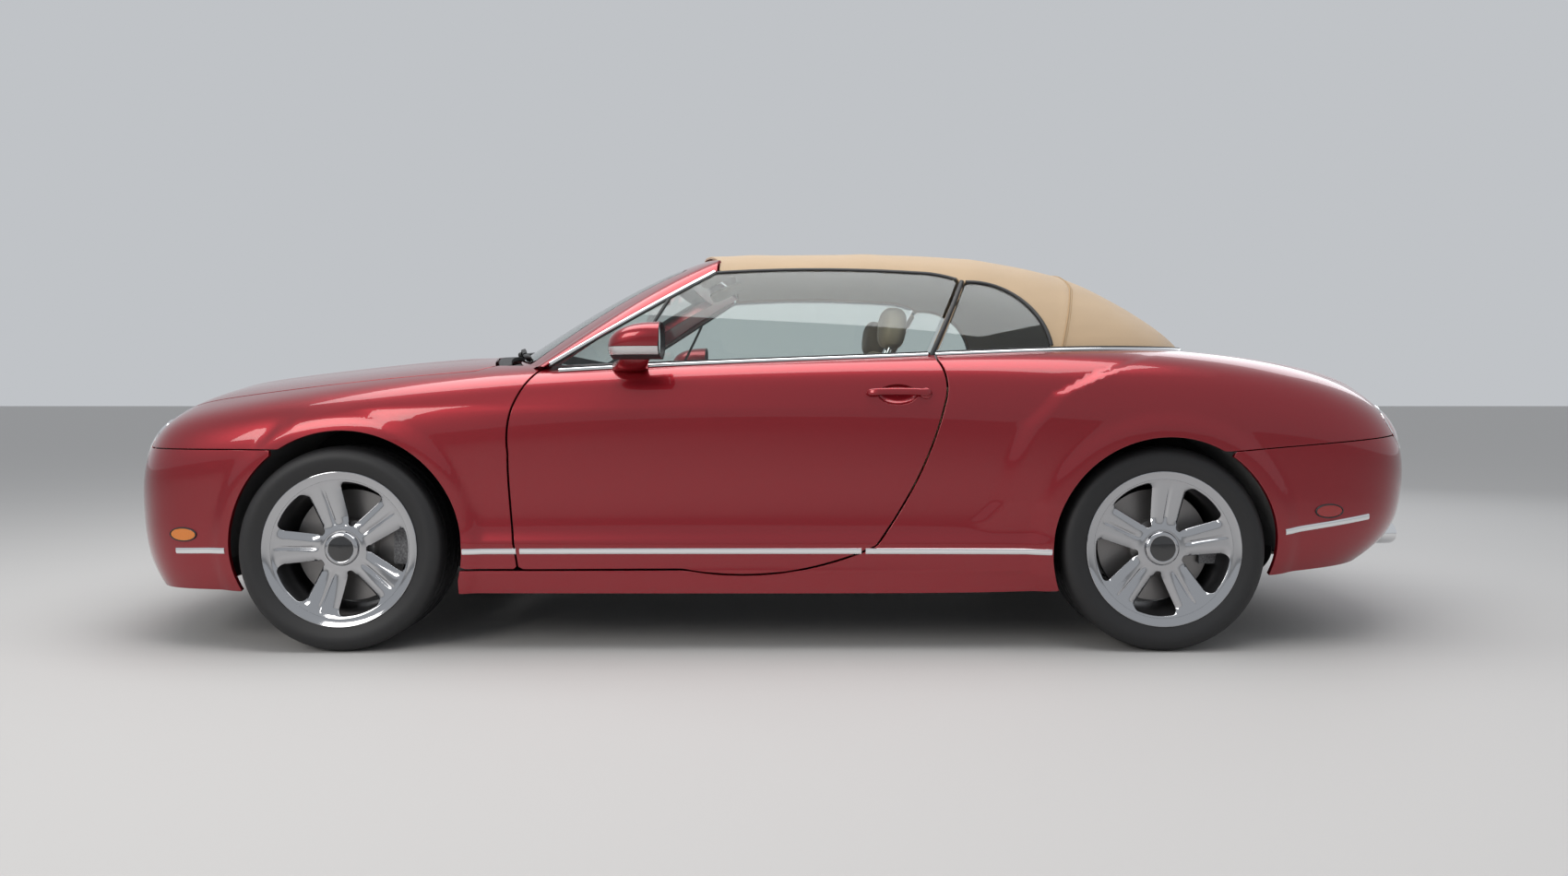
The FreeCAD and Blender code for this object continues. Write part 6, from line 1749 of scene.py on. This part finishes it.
# better materials on the CAD pieces that stay
CAST = grain(material("cast_metal", (0.20, 0.20, 0.205), 0.55, 0.8), 160, 0.4, 0.002,
             tones=((0.13, 0.13, 0.135), (0.26, 0.26, 0.265)))
UNDERSEAL = grain(material("underseal", (0.028, 0.028, 0.03), 0.8), 260, 0.6, 0.003,
                  tones=((0.02, 0.02, 0.021), (0.04, 0.04, 0.042)))
LINER_FELT = grain(material("liner_felt", (0.02, 0.02, 0.021), 0.95, Sheen_Weight=0.2), 600, 0.7, 0.003)
for names, mat in ((("structure", "boot_floor"), UNDERSEAL),
                   (("front_arch_liners", "rear_arch_liners"), LINER_FELT),
                   (("subframes", "engine_block", "front_knuckle_left", "front_knuckle_right",
                     "rear_knuckles"), CAST)):
    for name in names:
        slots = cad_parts[name].data.materials
        if not slots:
            slots.append(mat)
        for k in range(len(slots)):
            slots[k] = mat


# wheels
SPOKES = 5
WHEEL_WINDOW = path((-10, 92), ((0, 80), (10, 92)), (66, 190), ((66, 208), (50, 217)),
                    ((0, 224), (-50, 217)), ((-66, 208), (-66, 190)))
RIM_EDGE = 232.0


class SpokeFace:
    """The outer face of one spoke with its shares of hub and rim, as a surface over angle and radius."""
    ends = (2 * math.pi / SPOKES, RIM_EDGE - 40.0)

    def base(self, u, v):
        return self.point(u, v)

    def point(self, u, v):
        angle, r = u - math.pi / SPOKES, 40.0 + v
        x, z = r * np.sin(angle), r * np.cos(angle)
        turn = np.where(angle > 0, 1.0, -1.0) * math.pi / SPOKES
        wx = r * np.sin(angle - turn)
        wz = r * np.cos(angle - turn)
        gap = distance(WHEEL_WINDOW, np.stack([wx, wz], axis=1))
        share = np.clip((r - 60.0) / (RIM_EDGE - 60.0), 0.0, 1.0)
        y = 96.0 + 20.0 * share ** 1.6 + 4.0 * np.exp(-((r - 60.0) / 14.0) ** 2)
        on_spoke = np.clip((r - 78.0) / 25.0, 0, 1) * np.clip((RIM_EDGE - 6.0 - r) / 22.0, 0, 1)
        shoulder = np.clip(gap / 30.0, 0.0, 1.0)
        y += on_spoke * (-13.0 * (1.0 - shoulder) ** 2)
        y -= on_spoke * 5.5 * np.exp(-(x / (3.0 + 4.0 * (1 - share))) ** 2)
        y += np.clip((r - (RIM_EDGE - 14.0)) / 14.0, 0, 1) ** 2 * 3.0
        return np.stack([x, y, z], axis=1)

    def normal(self, u, v):
        step = 2e-3
        along_v = self.point(u, v + 1.0) - self.point(u, v - 1.0)
        n = np.cross(along_v, self.point(u + step, v) - self.point(u - step, v))
        n /= np.linalg.norm(n, axis=1)[:, None]
        return np.where(n[:, 1:2] < 0, -n, n)


def spoke_region(p):
    angle = np.arctan2(p[:, 0], p[:, 2])
    turn = np.where(angle > 0, 1.0, -1.0) * math.pi / SPOKES
    r = np.hypot(p[:, 0], p[:, 2])
    return -distance(WHEEL_WINDOW, np.stack([r * np.sin(angle - turn), r * np.cos(angle - turn)], axis=1))


def spoke_mesh():
    """Vertices, faces and normals of one fifth of the wheel's face."""
    face = SpokeFace()
    us, vs = np.linspace(0, face.ends[0], 49), np.linspace(0, face.ends[1], 41)
    m, n = len(us), len(vs)
    uu, vv = np.repeat(us, n), np.tile(vs, m)
    p = face.point(uu, vv)
    f = spoke_region(p) + 3.0
    f[np.abs(f) < 1e-6] = 1e-6
    inside = f < 0
    corner = np.arange(m * n).reshape(m, n)
    quads = np.stack([corner[:-1, :-1], corner[:-1, 1:], corner[1:, 1:], corner[1:, :-1]],
                     axis=-1).reshape(-1, 4)
    faces, edges = [], {}
    count = inside[quads].sum(axis=1)
    faces = quads[count == 4].tolist()
    mixed = quads[(count > 0) & (count < 4)]
    extra_u, extra_v = [], []
    for quad in mixed:
        polygon = []
        for a, b in zip(quad, np.roll(quad, -1)):
            if f[a] < 0:
                polygon.append(int(a))
            if (f[a] < 0) != (f[b] < 0):
                key = (min(a, b), max(a, b))
                if key not in edges:
                    edges[key] = m * n + len(extra_u)
                    t = f[key[0]] / (f[key[0]] - f[key[1]])
                    extra_u.append(uu[key[0]] * (1 - t) + uu[key[1]] * t)
                    extra_v.append(vv[key[0]] * (1 - t) + vv[key[1]] * t)
                polygon.append(edges[key])
        if len(polygon) >= 3:
            faces.append(polygon)
    uu, vv = np.concatenate([uu, extra_u]), np.concatenate([vv, extra_v])
    used = np.unique(np.concatenate([np.array(x) for x in faces]))
    renumber = np.full(len(uu), -1)
    renumber[used] = np.arange(len(used))
    uu, vv = uu[used], vv[used]
    seam = (uu < 1e-6) | (uu > face.ends[0] - 1e-6) | (vv < 1e-6) | (vv > face.ends[1] - 1e-6)
    return face.point(uu, vv), [[int(renumber[i]) for i in x] for x in faces], face.normal(uu, vv), seam


def wheel_face(name, centre, flip, phase):
    p, faces, n, seam = spoke_mesh()
    obj = shell(p, faces, n, name + "_part", depth=30.0, radius=3.0, back=False, seam=seam)
    base = obj.data
    co = np.zeros(len(base.vertices) * 3)
    base.vertices.foreach_get("co", co)
    co = co.reshape(-1, 3) / MM
    normals = np.array([list(x.vector) for x in base.corner_normals])
    loops = [list(f.vertices) for f in base.polygons]
    vertex_normal = np.zeros_like(co)
    index = np.array([v for f in loops for v in f])
    vertex_normal[index] = normals
    bpy.data.objects.remove(obj)
    points, all_normals, all_faces = [], [], []
    for k in range(SPOKES):
        a = phase + 2 * math.pi * k / SPOKES
        turn = np.array([[math.cos(a), 0, math.sin(a)], [0, 1, 0], [-math.sin(a), 0, math.cos(a)]])
        start = k * len(co)
        points.append(co @ turn.T)
        all_normals.append(vertex_normal @ turn.T)
        all_faces += [[start + i for i in f] for f in loops]
    points, all_normals = np.concatenate(points), np.concatenate(all_normals)
    if flip < 0:
        points, all_normals = points * FLIP, all_normals * FLIP
        all_faces = [f[::-1] for f in all_faces]
    return make_object(name, points + np.array(centre), all_faces, all_normals)


def tyre_mesh(name, centre, flip):
    """A tyre with four round grooves, blocks cut across the tread and ribbed shoulders."""
    corners = spread([(113, 233), (117, 246), (127, 268), (136, 292), (137.5, 303), (132, 322),
                      (121, 335), (104, 340.5), (60, 342.6), (0, 343), (-60, 342.6), (-104, 340.5),
                      (-121, 335), (-132, 322), (-137.5, 303), (-136, 292), (-127, 268), (-117, 246),
                      (-113, 233)], 54)
    tangents = np.gradient(corners, axis=0)
    normals = np.stack([tangents[:, 1], -tangents[:, 0]], axis=1)
    normals /= np.linalg.norm(normals, axis=1)[:, None]
    normals[(normals * (corners - [0, 290])).sum(axis=1) < 0] *= -1
    steps = 216
    w = turns(steps)
    t = corners[:, 0]
    r = corners[:, 1]
    tt, ww = np.meshgrid(t, w)
    rr = np.tile(r, (steps, 1))
    depth = np.zeros_like(tt)
    tread = rr > 330.0
    for groove in (-72.0, -26.0, 26.0, 72.0):
        depth = np.maximum(depth, 6.5 * (np.abs(tt - groove) < 5.0) * tread)
    pitch = 2 * math.pi / 72
    slant = np.where(np.abs(tt) > 72, 0.0, 0.0007 * tt)
    block = ((ww + slant + (np.abs(tt) > 72) * 0.25 * pitch) / pitch) % 1.0
    cut = (block < 0.17) & (np.abs(tt) > 31.0)
    depth = np.where(cut & tread, np.maximum(depth, 4.5), depth)
    shoulder = (rr > 318.0) & ~tread
    depth = np.where(cut & shoulder, 2.2, depth)
    rib = np.exp(-((rr - 262.0) / 3.0) ** 2) * 1.6
    off = rib - depth
    y = tt + normals[:, 0][None, :] * off
    rad = rr + normals[:, 1][None, :] * off
    x = rad * np.sin(ww)
    z = rad * np.cos(ww)
    vertices = np.stack([centre[0] + x, centre[1] + flip * y, centre[2] + z], axis=-1).reshape(-1, 3)
    m = len(t)
    index = np.arange(steps * m).reshape(steps, m)
    nxt = np.roll(index, -1, axis=0)
    faces = np.stack([index[:, :-1], index[:, 1:], nxt[:, 1:], nxt[:, :-1]], axis=-1).reshape(-1, 4)
    return fix_normals(make_object(name, vertices, faces.tolist()), 50.0)


CHROME_WHEEL = grain(material("chrome_wheel", (0.47, 0.475, 0.49), 0.07, 1.0), 260, 0.03)
CAP_BLACK = material("cap_black", (0.01, 0.01, 0.011), 0.12, 0.0, Coat_Weight=1.0)
RUBBER = grain(material("tyre_rubber", (0.012, 0.012, 0.013), 0.55), 500, 0.25, 0.0008)
BARREL = grain(material("rim_barrel", (0.10, 0.10, 0.105), 0.30, 0.9), 300, 0.05)
IRON = grain(material("disc_iron", (0.26, 0.25, 0.245), 0.38, 0.85), 700, 0.1)
TURNED = [
    # piece, steps, material, closed, profile of distances along the axis and radii
    ("rim_lip", 128, CHROME_WHEEL, False,
     [(114, 229), (119, 232.5), (120, 238), (122, 247), (125.5, 254), (126.8, 257), (126, 258.8),
      (122, 259), (118, 256), (114, 240)]),
    ("rim_barrel", 96, BARREL, True,
     [(114, 230), (100, 222), (60, 216), (-60, 214), (-100, 222), (-118, 232), (-124, 258), (-126, 258),
      (-122, 230), (-100, 220), (-60, 211), (60, 213), (98, 219), (112, 226)]),
    ("hub_bowl", 64, BARREL, False, [(99, 40.5), (98, 58), (80, 66), (58, 70), (57, 30), (57, 0.1)]),
    ("hub_cap", 64, CHROME_WHEEL, False,
     [(98, 58), (104, 57.5), (109, 55), (112, 50), (113, 45), (112, 43), (112, 0.1)]),
    ("cap_disc", 48, CAP_BLACK, False,
     [(112.2, 42.5), (113.4, 41.5), (115.5, 30), (117, 15), (117.5, 0.1)]),
]
WHEELS = [
    # corner, x, y, phase of the first spoke from the top, in degrees
    ("front", X_FRONT_AXLE, 811.5, -17.0),
    ("rear", X_REAR_AXLE, 803.5, 7.0),
]


def wheel(corner, hand, x, y, phase):
    flip = 1.0 if hand == "left" else -1.0
    centre = (x, flip * y, HUB_HEIGHT)
    body = f"{corner}_wheel_{hand}_body"
    name = f"{corner}_{hand}"
    face = wheel_face(name + "_wheel_face", centre, flip, math.radians(-phase))
    dress(face, CHROME_WHEEL, body, f"{corner}_rim_{hand}", slot="chrome")
    for part, steps, mat, close, profile in TURNED:
        dress(lathe(f"{name}_{part}", profile, centre, steps, flip, close), mat, body, slot="chrome")
    tyre = tyre_mesh(name + "_tyre_tread", centre, flip)
    dress(tyre, RUBBER, body, f"{corner}_tyre_{hand}", slot="tyre")
    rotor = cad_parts[f"{corner}_disc_{hand}"]
    rotor.data.materials.clear()
    rotor.data.materials.append(IRON)


for corner, x, y, phase in WHEELS:
    for hand in ("left", "right"):
        wheel(corner, hand, x, y, phase)

# camera, floor and light
SENSOR = 36.0
PHOTO_WIDTH, FOCAL_PIXELS, HORIZON_SHIFT = 1700.0, 1150.0, 50.0
camera_data = bpy.data.cameras.new("camera")
camera_data.sensor_width = SENSOR
camera_data.lens = SENSOR * FOCAL_PIXELS / PHOTO_WIDTH
camera_data.shift_y = -HORIZON_SHIFT / PHOTO_WIDTH
camera = bpy.data.objects.new("camera", camera_data)
camera.location = (-0.0265, 4.460, 0.867)
camera.rotation_euler = (math.radians(90), 0, math.radians(180))
bpy.context.scene.collection.objects.link(camera)
bpy.context.scene.camera = camera
bpy.context.scene.view_settings.view_transform = "Standard"

floor_mesh = bpy.data.meshes.new("floor")
floor_mesh.from_pydata([(-60, -60, 0), (60, -60, 0), (60, 60, 0), (-60, 60, 0)], [], [(0, 1, 2, 3)])
floor = bpy.data.objects.new("floor", floor_mesh)
bpy.context.scene.collection.objects.link(floor)
floor.data.materials.append(material("floor", (0.50, 0.49, 0.48), 0.7))

world = bpy.data.worlds.new("studio")
bpy.context.scene.world = world
world.use_nodes = True
world.node_tree.nodes["Background"].inputs["Color"].default_value = (0.85, 0.88, 0.92, 1)
world.node_tree.nodes["Background"].inputs["Strength"].default_value = 0.62


def area_light(name, at, aim, size, power, color=(1, 1, 1)):
    data = bpy.data.lights.new(name, "AREA")
    data.shape = "RECTANGLE"
    data.size, data.size_y = size
    data.energy = power
    data.color = color
    obj = bpy.data.objects.new(name, data)
    obj.location = at
    obj.rotation_euler = (Vector(aim) - Vector(at)).to_track_quat("-Z", "Y").to_euler()
    bpy.context.scene.collection.objects.link(obj)


area_light("overhead", (0.4, 0.8, 4.6), (0, 0, 0.5), (6.5, 3.2), 230)
area_light("key", (4.2, 5.2, 3.2), (0.3, 0.4, 0.6), (3.0, 2.4), 120, (1.0, 0.97, 0.93))
area_light("back", (-3.5, -5.0, 3.4), (0, 0, 0.7), (6.0, 3.0), 70, (0.93, 0.96, 1.0))
